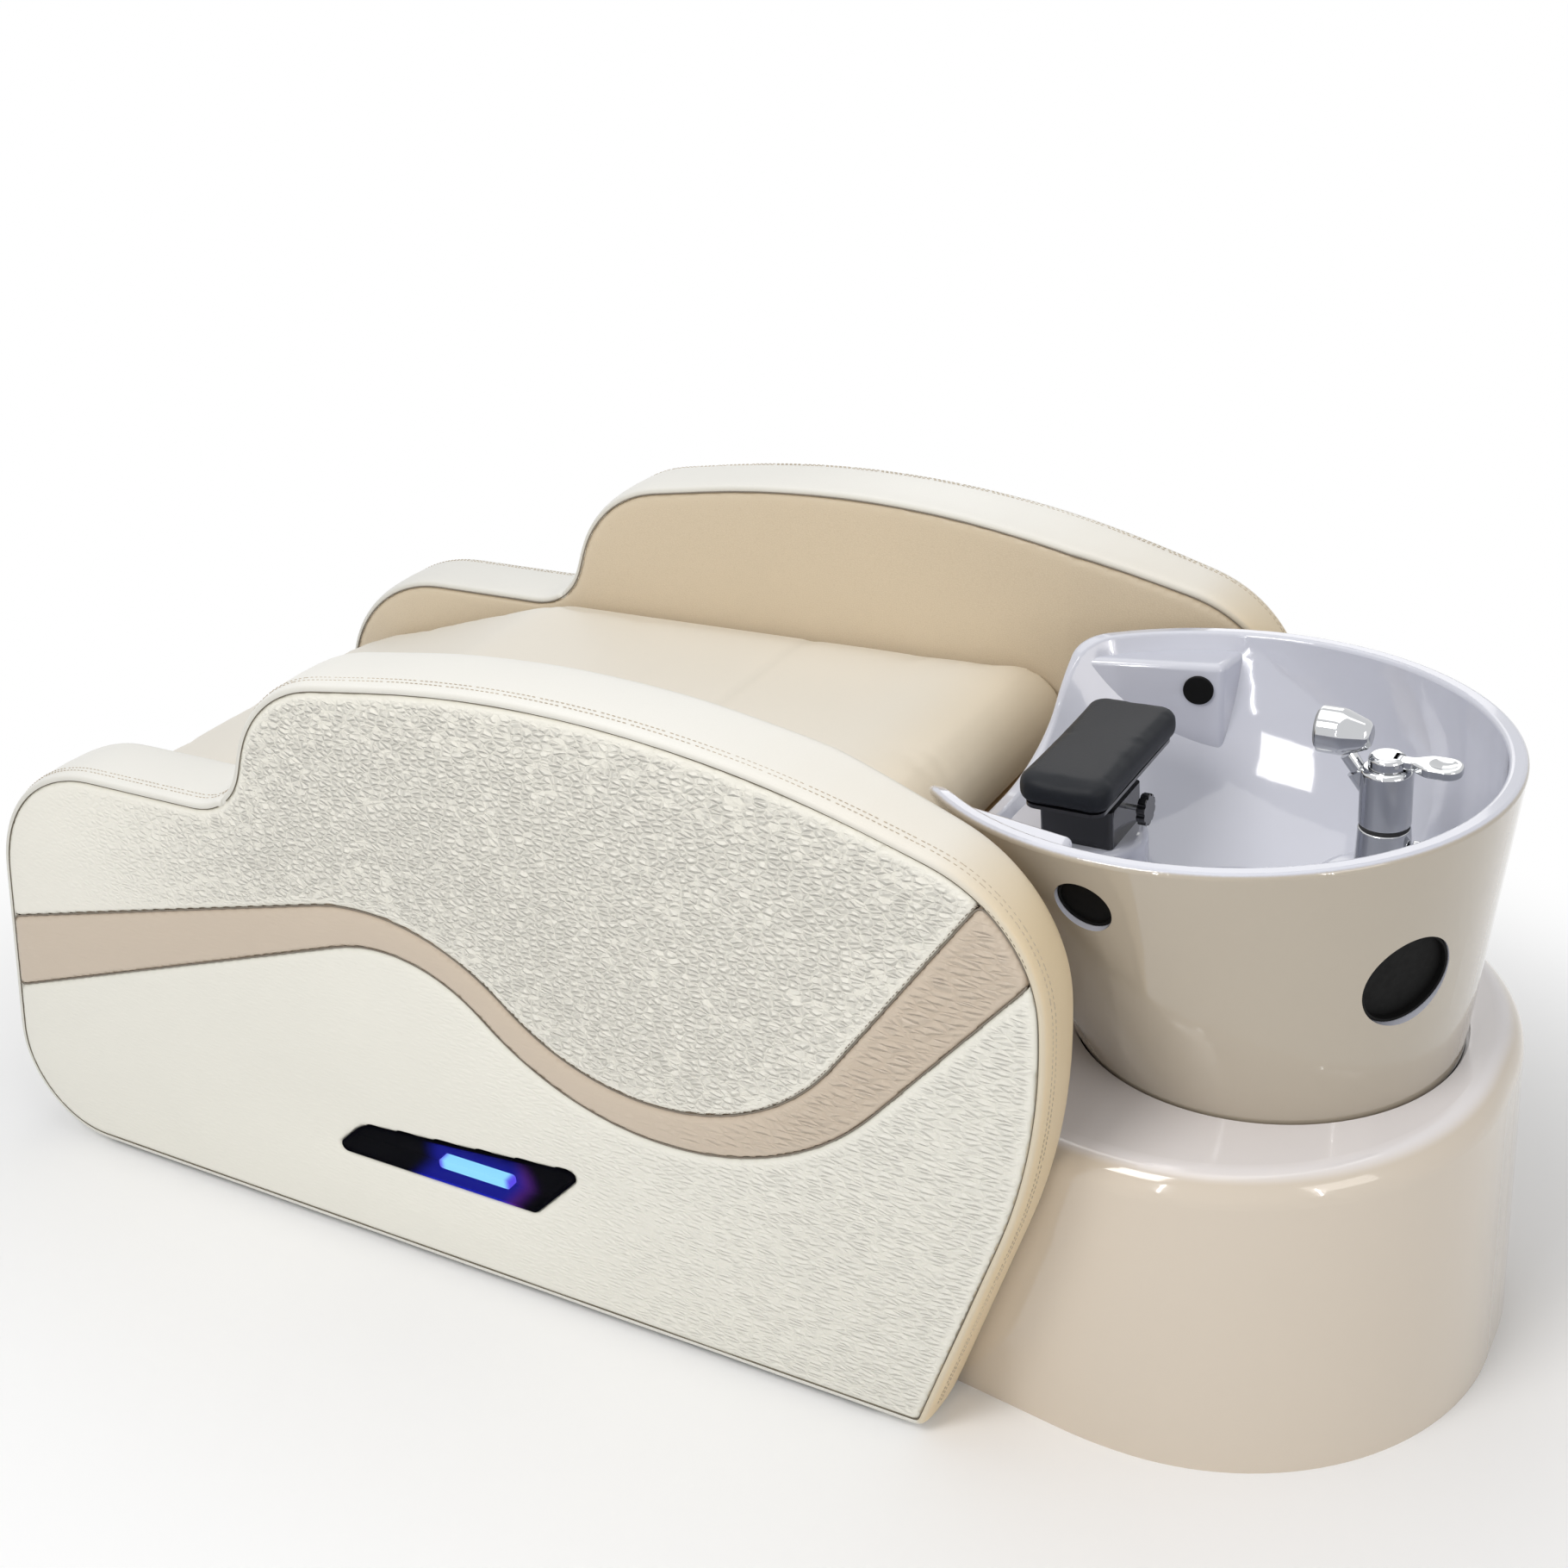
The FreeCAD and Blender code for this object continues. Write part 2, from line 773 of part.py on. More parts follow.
inner_blank = padded("inner_blank", "XZ_Plane", [rounded(face)], "Sizes.panel_thickness", y=f"-{INNER}")
inner_cut = cut("inner_cut", inner_blank, side_bores, inside_wedge)
layer_bend = taper_line(taper_start, size("inner_pad_thickness"))
layer_end = taper_line(value(REAR) + panel_room, size("inner_pad_thickness"))
layer_foot = value(FOOT) - panel_room
layer_outline = [
    (layer_foot, 0, 0),
    (layer_foot, layer_bend[1], 0),
    layer_bend,
    layer_end,
    (layer_end[0], 0, 0),
]
inner_layer = padded("inner_layer", "XY_Plane", [rounded(layer_outline)], "Sizes.crest_height")
node("inner_pad_left", shared("inner", inner_cut, inner_layer))

kick_start = panel[0][0] + size("kick_foot_gap")
kick_end = panel[1][0] - size("kick_rear_gap")
kick = padded("kick", "XZ_Plane",
              [rounded(rectangle(kick_start, value("Sizes.panel_bottom - Sizes.kick_height"),
                                 kick_end, size("panel_bottom")))],
              "Sizes.panel_thickness - 2 * Sizes.kick_inset", y=f"-{INNER} - Sizes.kick_inset")

# Side light: a black tray let into the lower pad, a bar that glows, and a smoked lens over it
tray_room = inset(light, size("light_wall"))
tray_blank = padded("tray_blank", "XZ_Plane", [rounded(light)], "Sizes.light_depth",
                    y="-(Sizes.bed_width / 2 - Sizes.light_depth)")
tray_hollow = padded("tray_hollow", "XZ_Plane", [rounded(tray_room)], "Sizes.light_depth",
                     y="-(Sizes.bed_width / 2 - Sizes.light_depth + Sizes.light_wall)")
tray = cut("tray", tray_blank, tray_hollow)
node("light_housing_left", tray)
bar_left = value(f"{FOOT} + Sizes.light_setback + Sizes.bar_setback")
bar_low = value("Sizes.light_height + Sizes.light_wall + Sizes.bar_lift")
glow = padded("glow", "XZ_Plane",
              [rounded(rectangle(bar_left, bar_low, bar_left + size("bar_length"),
                                 bar_low + size("bar_thickness"), size("bar_corner_radius")))],
              "Sizes.bar_thickness", y="-(Sizes.bed_width / 2 - Sizes.light_depth + Sizes.light_wall)")
node("light_bar_left", glow)
lens = padded("lens", "XZ_Plane", [rounded(inset(light, value("Sizes.light_wall + Sizes.light_clearance")))],
              "Sizes.lens_thickness", y="-(Sizes.bed_width / 2 - Sizes.lens_thickness)")
node("light_lens_left", lens)

for piece in list(nodes):
    label = piece.Label.replace("_left", "_right")
    node(label, mirrored(f"{piece.Name}_mirror", piece))
node("kick_strips", gathered("kick_pair", kick, mirrored("kick_mirror", kick)))
node("panel_bolts", gathered("bolt_set", left_bolts, mirrored("bolt_mirror", left_bolts)))

# Mattress with a knee bend, on a flat seat deck and a sloping leg deck
knee = VEC(value(f"{FOOT} + Sizes.knee_setback"), size("seat_height"), 0)
leg = VEC(math.cos(slope("leg_slope")), math.sin(slope("leg_slope")), 0)
leg_down = VEC(leg.y, -leg.x, 0)
mattress_foot = value(f"{FOOT} + Sizes.mattress_foot_setback")
mattress_rear = value(f"{REAR} - Sizes.mattress_rear_setback")
plumb = VEC(0, 1, 0)
level = VEC(1, 0, 0)


def layer(depth):
    """Seat and leg lines at a depth below the mattress top: their crossing and the leg's foot end."""
    seat = VEC(knee.x, knee.y - depth, 0)
    sloping = knee + leg_down * depth
    bend = meet(seat, level, sloping, leg)
    foot_end = meet(sloping, leg, VEC(mattress_foot, 0, 0), plumb)
    return bend, foot_end


top_bend, top_foot = layer(0)
under_bend, under_foot = layer(size("mattress_thickness"))
deck_bend, deck_foot = layer(value("Sizes.mattress_thickness + Sizes.deck_thickness"))
mattress_profile = [
    corner(under_foot, size("mattress_edge_radius")),
    corner(under_bend, size("mattress_bend_radius")),
    (mattress_rear, value(SEAT_UNDER), size("mattress_edge_radius")),
    (mattress_rear, size("seat_height"), size("mattress_roll_radius")),
    corner(top_bend, size("knee_radius")),
    corner(top_foot, size("mattress_foot_radius")),
]
mattress_half = f"({INNER} - Sizes.mattress_side_gap)"
slab = padded("slab", "XZ_Plane", [rounded(mattress_profile)], f"2 * {mattress_half}", y=mattress_half)
plan_half = value(mattress_half)
mattress_plan = [
    (mattress_foot, -plan_half, size("mattress_corner_radius")),
    (mattress_rear, -plan_half, size("mattress_rear_radius")),
    (mattress_rear, plan_half, size("mattress_rear_radius")),
    (mattress_foot, plan_half, size("mattress_corner_radius")),
]
plan = padded("plan", "XY_Plane", [rounded(mattress_plan)], "Sizes.seat_height * 2")
node("mattress", shared("mattress_piece", slab, plan))

deck_half = f"({INNER} - Sizes.deck_side_gap)"
seat_start = under_bend.x + size("deck_knee_gap")
seat_end = mattress_rear - size("deck_side_gap")
seat_outline = rectangle(seat_start, value(DECK_UNDER), seat_end, value(SEAT_UNDER))
seat_board = padded("seat_board", "XZ_Plane", [rounded(seat_outline)], f"2 * {deck_half}", y=deck_half)
node("seat_deck", seat_board)
leg_top = under_bend - leg * size("deck_knee_gap")
leg_bottom = deck_bend - leg * size("deck_knee_gap")
foot_step = leg * size("deck_foot_gap")
leg_outline = [
    corner(under_foot + foot_step),
    corner(deck_foot + foot_step),
    corner(leg_bottom),
    corner(leg_top),
]
leg_board = padded("leg_board", "XZ_Plane", [rounded(leg_outline)], f"2 * {deck_half}", y=deck_half)
deck_plan = padded("deck_plan", "XY_Plane", [rounded(inset(mattress_plan, size("deck_side_gap")))],
                   "Sizes.seat_height")
node("leg_deck", shared("leg_deck_piece", leg_board, deck_plan))

# Timber frame: two rails on adjustable feet, cross bars, posts and bearers under the decks
TIMBER = "Sizes.timber_width"
RAIL_START = f"({FOOT} + Sizes.board_setback + Sizes.board_thickness)"
RAIL_END = f"({PEDESTAL_FRONT} - {TIMBER})"
RAIL_TOP = "(Sizes.rail_height + Sizes.rail_depth)"
BEARER_UNDER = f"({DECK_UNDER} - {TIMBER})"
across_bed = value(f"2 * {INNER} - {TIMBER}")
other_side = at(0, across_bed, 0)

rail = block("rail", f"{RAIL_END} - {RAIL_START}", TIMBER, "Sizes.rail_depth",
             RAIL_START, f"-{INNER}", "Sizes.rail_height")
drilled_rail = cut("drilled_rail", rail, side_bores)
node("base_rails", repeated("rails", drilled_rail, [at(0, 0, 0), other_side]))

post = block("post", TIMBER, TIMBER, f"{BEARER_UNDER} - {RAIL_TOP}",
             f"{PEDESTAL_FRONT} - {TIMBER}", f"-{INNER}", RAIL_TOP)
drilled_post = cut("drilled_post", post, side_bores)
post_places = []
for x in (knee_post, mid_post, rear_post):
    post_places.append(at(x - rear_post, 0, 0))
    post_places.append(at(x - rear_post, across_bed, 0))
node("posts", repeated("post_set", drilled_post, post_places))

inner_span = f"2 * ({INNER} - {TIMBER})"
bar_span = f"-({INNER} - {TIMBER})"
front_bar = block("front_bar", TIMBER, inner_span, "Sizes.rail_depth",
                  f"{RAIL_START} + {TIMBER}", bar_span, "Sizes.rail_height")
mid_bar = block("mid_bar", TIMBER, inner_span, "Sizes.rail_depth", "0", bar_span, "Sizes.rail_height")
mid_bar.setExpression("Placement.Base.x", f"({RAIL_START} + {RAIL_END}) / 2")
rear_bar = block("rear_bar", TIMBER, f"2 * {INNER}", "Sizes.rail_depth",
                 RAIL_END, f"-{INNER}", "Sizes.rail_height")
head_bolt_places = []
for y in (-1.5, -0.5, 0.5, 1.5):
    head_bolt_places.append(y * size("pedestal_bolt_pitch"))
pedestal_drill = rod("pedestal_drill", bolt_hole,
                     "Sizes.bolt_grip + Sizes.bolt_clearance + 2 * Sizes.pedestal_wall")
pedestal_bores = repeated("pedestal_bores", pedestal_drill, [
    at(value(f"{PEDESTAL_FRONT} + 2 * Sizes.pedestal_wall"), y, rail_bolt_z, ALONG * -1)
    for y in head_bolt_places])
drilled_bar = cut("drilled_bar", rear_bar, pedestal_bores)
node("crossbars", gathered("bar_set", front_bar, mid_bar, drilled_bar))

bearers = []
for name, x in (("mid_bearer", mid_post), ("rear_bearer", rear_post)):
    outline = rectangle(x - size("timber_width") / 2, value(BEARER_UNDER),
                        x + size("timber_width") / 2, value(DECK_UNDER))
    bearers.append(padded(name, "XZ_Plane", [rounded(outline)], f"2 * {INNER}", y=INNER))
node("bearers", gathered("bearer_set", *bearers))

knee_back = knee_post + size("timber_width") / 2
knee_front = deck_bend.x - size("timber_width")
knee_outline = [
    (knee_front, value(BEARER_UNDER), 0),
    (knee_back, value(BEARER_UNDER), 0),
    (knee_back, value(DECK_UNDER), 0),
    corner(deck_bend),
    corner(meet(deck_bend, leg, VEC(knee_front, 0, 0), plumb)),
]
node("knee_bearer", padded("knee_beam", "XZ_Plane", [rounded(knee_outline)], f"2 * {INNER}", y=INNER))

board_front = value(f"{FOOT} + Sizes.board_setback")
board_back = value(RAIL_START)
board_outline = [
    (board_front, size("rail_height"), 0),
    (board_back, size("rail_height"), 0),
    corner(meet(deck_bend, leg, VEC(board_back, 0, 0), plumb)),
    corner(meet(deck_bend, leg, VEC(board_front, 0, 0), plumb)),
]
end_board = padded("end_board", "XZ_Plane", [rounded(board_outline)], f"2 * {mattress_half}", y=mattress_half)
node("foot_board", end_board)

foot_profile = [
    (0, 0, 0),
    (size("foot_pad_radius"), 0, size("foot_edge_radius")),
    (size("foot_pad_radius"), size("foot_pad_height"), size("foot_edge_radius")),
    (size("foot_stem_radius"), size("foot_cone_height"), 0),
    (size("foot_stem_radius"), size("rail_height"), 0),
    (0, size("rail_height"), 0),
]
foot_piece = turned("level_foot", foot_profile)
foot_line = value(f"{INNER} - {TIMBER} / 2")
foot_places = []
for x in (value(RAIL_START) + size("timber_width"), knee_post, value(RAIL_END) - size("timber_width")):
    foot_places.append(at(x, -foot_line, 0))
    foot_places.append(at(x, foot_line, 0))
node("leveling_feet", repeated("foot_set", foot_piece, foot_places))

node("led_driver", block("driver", "Sizes.driver_width", "Sizes.driver_length", "Sizes.driver_height",
                         f"({RAIL_START} + {RAIL_END}) / 2", "-Sizes.driver_length / 2", RAIL_TOP))

# Pedestal: a gloss moulding open underneath, with a round seat for the basin, over a steel stand
front_half = value(PEDESTAL_HALF)
rear_half = front_half + size("rear_taper")
pedestal_end = value(f"{PEDESTAL_X} + {PEDESTAL_HALF}")
pedestal_plan = [
    (value(PEDESTAL_FRONT), -front_half, size("pedestal_corner_radius")),
    (value(REAR), -rear_half, size("pedestal_side_radius")),
    (pedestal_end, -rear_half, size("pedestal_rear_radius")),
    (pedestal_end, rear_half, size("pedestal_rear_radius")),
    (value(REAR), rear_half, size("pedestal_side_radius")),
    (value(PEDESTAL_FRONT), front_half, size("pedestal_corner_radius")),
]


def top_edge(height):
    """Test for the edges that lie flat at one height."""
    def lies_there(edge):
        box = edge.BoundBox
        return abs(box.ZMin - height) < 0.01 and abs(box.ZMax - height) < 0.01
    return lies_there


outside = padded("outside", "XY_Plane", [rounded(pedestal_plan)], "Sizes.pedestal_height")
outside_round = filleted("outside_round", outside, size("pedestal_edge_radius"),
                         top_edge(size("pedestal_height")))
ceiling = "(Sizes.pedestal_height - Sizes.pedestal_top)"
inside = padded("inside", "XY_Plane", [rounded(inset(pedestal_plan, size("pedestal_wall")))], ceiling)
inside_round = filleted("inside_round", inside, value("Sizes.pedestal_edge_radius - Sizes.pedestal_wall"),
                        top_edge(value(ceiling)))
seat_round = rod("seat_round", f"{BASIN_RADIUS} + Sizes.seat_clearance", "Sizes.pedestal_top",
                 BASIN_X, "0", "Sizes.pedestal_height - Sizes.seat_recess")
pipe_hole = rod("pipe_hole", HOLE_RADIUS, "Sizes.pedestal_height", BASIN_X, "0", "Sizes.seat_recess")
shell = cut("shell", outside_round, inside_round, seat_round, pipe_hole, pedestal_bores)
node("pedestal_shell", shell)
pedestal_bolt = bolt_piece("pedestal_bolt", value("Sizes.pedestal_wall + Sizes.bolt_grip"))
head_x = value(f"{PEDESTAL_FRONT} + Sizes.pedestal_wall + Sizes.bolt_head_height")
node("pedestal_bolts", repeated("pedestal_bolt_set", pedestal_bolt, [
    at(head_x, y, rail_bolt_z, ALONG * -1) for y in head_bolt_places]))

ring_under = value(f"{ceiling} - Sizes.stand_ring_height")
ring_radius = size("stand_ring_radius")
ring_profile = rectangle(value(HOLE_RADIUS), ring_under, ring_radius, value(ceiling))
stand_ring = turned("stand_ring", ring_profile, BASIN_X)
stand_legs = []
leg_line = (ring_radius + value(HOLE_RADIUS)) / 2 * math.sqrt(0.5)
for index, (x, y) in enumerate(((-1, -1), (1, -1), (1, 1), (-1, 1))):
    corner_x = value(BASIN_X) + x * leg_line - size("stand_leg") / 2
    corner_y = y * leg_line - size("stand_leg") / 2
    outline = rectangle(corner_x, corner_y, corner_x + size("stand_leg"), corner_y + size("stand_leg"))
    stand_legs.append(padded(f"stand_leg_{index}", "XY_Plane", [rounded(outline)],
                             f"{ceiling} - Sizes.stand_ring_height"))
node("basin_stand", fused("stand", stand_ring, *stand_legs))

gasket_profile = rectangle(value(f"{BASIN_RADIUS} - Sizes.gasket_width"), 0,
                           value(BASIN_RADIUS), size("gasket_thickness"))
gasket = turned("gasket", gasket_profile, BASIN_X, "0", "Sizes.pedestal_height - Sizes.seat_recess")
node("basin_gasket", gasket)

# Basin: a ceramic cone with a dished bowl, a wide neck cut, two ledges and a port on each side


def oval(name, half_length, half_width, x, z):
    """Level ellipse, a section of the basin."""
    piece = doc.addObject("Part::Ellipse", name)
    piece.setExpression("MajorRadius", half_length)
    piece.setExpression("MinorRadius", half_width)
    return put(piece, x, "0", z)


def lofted(name, sections, ruled):
    """Solid through level sections."""
    result = doc.addObject("Part::Loft", name)
    result.Sections = sections
    result.Solid = True
    result.Ruled = ruled
    return result


FLARE = f"(Sizes.rim_trim / (Sizes.rim_height - {BASIN_FOOT}))"
TOP_LENGTH = f"({RIM_LONG} + ({RIM_LONG} - {BASIN_RADIUS}) * {FLARE})"
TOP_WIDTH = f"({RIM_HALF} + ({RIM_HALF} - {BASIN_RADIUS}) * {FLARE})"
TOP_X = f"({RIM_X} + ({RIM_X} - {BASIN_X}) * {FLARE})"
TOP_Z = "(Sizes.rim_height + Sizes.rim_trim)"
wall_foot = oval("wall_foot", BASIN_RADIUS, BASIN_RADIUS, BASIN_X, BASIN_FOOT)
wall_top = oval("wall_top", TOP_LENGTH, TOP_WIDTH, TOP_X, TOP_Z)
cone = lofted("cone", [wall_foot, wall_top], True)
bowl_floor = oval("bowl_floor", "Sizes.bowl_floor_half_length", "Sizes.bowl_floor_half_width",
                  DRAIN_X, "Sizes.bowl_bottom")
bowl_mid = oval("bowl_mid", f"{MID_HALF} + Sizes.bowl_mid_stretch", MID_HALF,
                f"{REAR} + Sizes.bowl_mid_setback", "Sizes.bowl_mid_height")
bowl_top = oval("bowl_top", f"{TOP_LENGTH} - Sizes.rim_wall", f"{TOP_WIDTH} - Sizes.rim_wall", TOP_X, TOP_Z)
bowl = lofted("bowl", [bowl_floor, bowl_mid, bowl_top], False)
neck_half = size("neck_floor") / 2
neck_run = value("Sizes.rim_height - Sizes.neck_bottom") / math.tan(slope("neck_slope"))
rim_z = size("rim_height")
above_rim = rim_z + size("rim_clear")
beside_rim = value(BESIDE_RIM)
neck_outline = [
    (-beside_rim, rim_z, 0),
    (-neck_half - neck_run, rim_z, size("neck_corner_radius")),
    (-neck_half, size("neck_bottom"), size("neck_floor_radius")),
    (neck_half, size("neck_bottom"), size("neck_floor_radius")),
    (neck_half + neck_run, rim_z, size("neck_corner_radius")),
    (beside_rim, rim_z, 0),
    (beside_rim, above_rim, 0),
    (-beside_rim, above_rim, 0),
]
neck_start = f"({RIM_X} - {RIM_LONG} - Sizes.rim_clear)"
neck = padded("neck", "YZ_Plane", [rounded(neck_outline)], f"{HEADREST_X} - {neck_start}", x=neck_start)
above = block("above", f"2 * {RIM_LONG}", f"2 * {BESIDE_RIM}", "Sizes.rim_clear",
              HEADREST_X, f"-{BESIDE_RIM}", "Sizes.rim_height")
level_cone = cut("level_cone", cone, above)
necked_cone = cut("necked_cone", level_cone, neck)
dished = cut("dished", necked_cone, bowl)


def on_lip(edge):
    """Edges of the rim and the neck cut, without the short lines across them."""
    return edge.BoundBox.ZMin > size("neck_bottom") - 1 and not isinstance(edge.Curve, Part.Line)


lipped = filleted("lipped", dished, size("rim_lip_radius"), on_lip)


def ledge(name, end, way, radius):
    """Level ledge inside the bowl: a rounded tongue from the wall inwards, trimmed to the basin."""
    wall_end = end + way * value(f"2 * {RIM_LONG}")
    left, right = min(end, wall_end), max(end, wall_end)
    rounding = (radius, 0) if way > 0 else (0, radius)
    plan = [
        (left, -radius, rounding[0]),
        (right, -radius, rounding[1]),
        (right, radius, rounding[1]),
        (left, radius, rounding[0]),
    ]
    base = "(Sizes.bowl_bottom - Sizes.basin_base / 2)"
    tongue = padded(f"{name}_tongue", "XY_Plane", [rounded(plan)], f"Sizes.ledge_height - {base}", z=base)
    soft_tongue = filleted(f"{name}_soft", tongue, size("ledge_edge_radius"), top_edge(size("ledge_height")))
    return shared(name, soft_tongue, cone)


faucet_x = value(FAUCET_X)
headrest_x = value(HEADREST_X)
faucet_ledge = ledge("faucet_ledge", faucet_x - size("ledge_radius"), 1, size("ledge_radius"))
neck_ledge = ledge("neck_ledge", headrest_x + size("neck_ledge_radius"), -1, size("neck_ledge_radius"))



def port_corner(which):
    """Corner of the left port's face, at its start or its end."""
    x = value(f"{REAR} - Sizes.port_{which}_setback")
    return VEC(x, -value(f"{RIM_HALF} - Sizes.port_{which}_inset"), 0)


port_start = port_corner("start")
port_end = port_corner("end")
port_plan = [
    (port_start.x, -value(RIM_HALF), 0),
    corner(port_start),
    corner(port_end, size("port_edge_radius")),
    (port_end.x + size("port_end_lean"), -value(RIM_HALF), 0),
]
port_prism = padded("port_prism", "XY_Plane", [rounded(port_plan)], "Sizes.port_depth",
                    z="Sizes.port_height - Sizes.port_depth")
port_blank = filleted("port_blank", port_prism, size("port_edge_radius"), top_edge(size("port_height")))
port = shared("port", port_blank, cone)
basin_blank = fused("basin_blank", lipped, faucet_ledge, neck_ledge, port, mirrored("port_right", port))


def wall_spot(height, angle):
    """Point on the outside of the basin and the direction its wall faces there."""
    foot_z = value(BASIN_FOOT)
    foot_r = value(BASIN_RADIUS)
    rise = size("rim_height") - foot_z
    up = (height - foot_z) / rise
    long = foot_r + (value(RIM_LONG) - foot_r) * up
    wide = foot_r + (value(RIM_HALF) - foot_r) * up
    shift = value(RIM_X) - value(BASIN_X)
    turn = math.radians(angle)
    point = VEC(value(BASIN_X) + shift * up + long * math.cos(turn), wide * math.sin(turn), height)
    around = VEC(-long * math.sin(turn), wide * math.cos(turn), 0)
    upward = VEC(shift + (value(RIM_LONG) - foot_r) * math.cos(turn),
                 (value(RIM_HALF) - foot_r) * math.sin(turn), rise)
    return point, around.cross(upward).normalize()


cover_tools = []
for which in ("front", "rear"):
    point, facing = wall_spot(size(f"{which}_cover_height"), -size(f"{which}_cover_angle"))
    depth = size(f"{which}_cover_depth")
    radius = size(f"{which}_cover_radius")
    height = depth - size("cover_rim_depth")
    seat = point - facing * depth
    pocket = rod(f"{which}_pocket", f"Sizes.{which}_cover_radius + Sizes.cover_clearance",
                 f"Sizes.{which}_cover_depth * 2", axis=facing)
    for axis in "xyz":
        pocket.setExpression(f"Placement.Base.{axis}", f"{getattr(seat, axis)} mm")
    cover_tools.append(pocket)
    cover_tools.append(mirrored(f"{which}_pocket_right", pocket))
    cup = turned(f"{which}_cup", [
        (0, 0, 0),
        (radius, 0, 0),
        (radius, height, size("cover_edge_radius")),
        (radius - size("cover_wall"), height, size("cover_edge_radius")),
        (radius - size("cover_wall"), size("cover_wall"), 0),
        (0, size("cover_wall"), 0),
    ], f"{seat.x} mm", f"{seat.y} mm", f"{seat.z} mm", facing)
    node(f"{which}_covers", gathered(f"{which}_cover_pair", cup, mirrored(f"{which}_cup_right", cup)))

cavity_top = "(Sizes.bowl_bottom - Sizes.basin_base)"
cavity = rod("cavity", f"{BASIN_RADIUS} - Sizes.cavity_wall", f"{cavity_top} - Sizes.pedestal_height",
             BASIN_X, "0", "Sizes.pedestal_height")
cavity_mouth = rod("cavity_mouth", f"{BASIN_RADIUS} - Sizes.cavity_wall", "Sizes.seat_recess", BASIN_X, "0",
                   "Sizes.pedestal_height - Sizes.seat_recess")
pocket_foot = f"({cavity_top} - Sizes.basin_base / 2)"
pocket_height = f"{POCKET_TOP} - {pocket_foot}"
faucet_pocket = rod("faucet_pocket", "Sizes.faucet_pocket_radius", pocket_height, FAUCET_X, "0", pocket_foot)
neck_pocket = rod("neck_pocket", "Sizes.neck_pocket_radius", pocket_height, HEADREST_X, "0", pocket_foot)
ledge_bore = ("Sizes.ledge_thickness * 2", "0", f"{POCKET_TOP} - Sizes.ledge_thickness / 2")
shank_hole = rod("shank_hole", "Sizes.faucet_shank_radius + Sizes.faucet_clearance", ledge_bore[0],
                 FAUCET_X, *ledge_bore[1:])
stud_hole = rod("stud_hole", "Sizes.bracket_stud_radius + Sizes.faucet_clearance", ledge_bore[0],
                HEADREST_X, *ledge_bore[1:])
drain_hole = rod("drain_hole", "Sizes.drain_radius + Sizes.drain_clearance", "Sizes.basin_base * 2",
                 DRAIN_X, "0", f"{cavity_top} - Sizes.basin_base / 2")
node("basin", cut("basin_piece", basin_blank, cavity, cavity_mouth, faucet_pocket, neck_pocket,
                  shank_hole, stud_hole, drain_hole, *cover_tools))

cap_profile = [
    (0, 0, 0),
    (size("cap_radius"), 0, 0),
    (size("cap_radius"), size("cap_height"), size("cap_edge_radius")),
    (0, size("cap_height"), 0),
]
port_way = (port_end - port_start).normalize()
cap_spot = meet(port_start, port_way, VEC(value(f"{REAR} - Sizes.cap_setback"), 0, 0), plumb)
cap = turned("cap", cap_profile, f"{cap_spot.x} mm", f"{cap_spot.y} mm",
             "Sizes.port_height - Sizes.cap_drop", VEC(-port_way.y, port_way.x, 0))
node("port_caps", gathered("cap_pair", cap, mirrored("cap_right", cap)))

# Drain: a flanged outlet through the bowl, a nut under it and a tail pipe to the floor
outlet_profile = [
    (value("Sizes.drain_radius - Sizes.drain_wall"), -size("drain_length"), 0),
    (size("drain_radius"), -size("drain_length"), 0),
    (size("drain_radius"), 0, 0),
    (size("drain_flange_radius"), 0, 0),
    (size("drain_flange_radius"), size("drain_flange_height"), size("drain_edge_radius")),
    (value("Sizes.drain_radius - Sizes.drain_wall"), size("drain_flange_height"), size("drain_edge_radius")),
]
node("drain_flange", turned("outlet", outlet_profile, DRAIN_X, "0", "Sizes.bowl_bottom"))
drain_nut_profile = rectangle(value("Sizes.drain_radius + Sizes.drain_clearance"), -size("drain_nut_height"),
                              size("drain_nut_radius"), 0)
node("drain_nut", turned("drain_ring", drain_nut_profile, DRAIN_X, "0", cavity_top))
tail_radius = value("Sizes.drain_radius - Sizes.drain_wall")
spigot_radius = tail_radius - size("drain_clearance")
tail_top = value("Sizes.bowl_bottom - Sizes.drain_length")
tail_profile = [
    (tail_radius - size("tail_wall"), size("tail_bottom"), 0),
    (tail_radius, size("tail_bottom"), 0),
    (tail_radius, tail_top, 0),
    (spigot_radius, tail_top, 0),
    (spigot_radius, tail_top + size("drain_length") / 2, 0),
    (tail_radius - size("tail_wall"), tail_top + size("drain_length") / 2, 0),
]
node("tail_pipe", turned("tail", tail_profile, DRAIN_X))

# Mixer: a base with a diverter, a body with a leaning socket for the hand shower, and a lever on a hub
base_top = size("faucet_base_height")
base_profile = [
    (0, -size("faucet_shank_length"), 0),
    (size("faucet_shank_radius"), -size("faucet_shank_length"), 0),
    (size("faucet_shank_radius"), 0, 0),
    (size("faucet_flange_radius"), 0, 0),
    (size("faucet_flange_radius"), size("faucet_flange_height"), size("faucet_edge_radius")),
    (size("faucet_base_radius"), size("faucet_flare_height"), size("faucet_flare_radius")),
    (size("faucet_radius"), base_top, size("faucet_edge_radius")),
    (0, base_top, 0),
]
base_turned = turned("base_turned", base_profile, FAUCET_X, "0", "Sizes.ledge_height")
diverter_start = f"({FAUCET_X} + Sizes.faucet_base_radius - Sizes.diverter_length)"
diverter_z = "(Sizes.ledge_height + Sizes.diverter_height)"
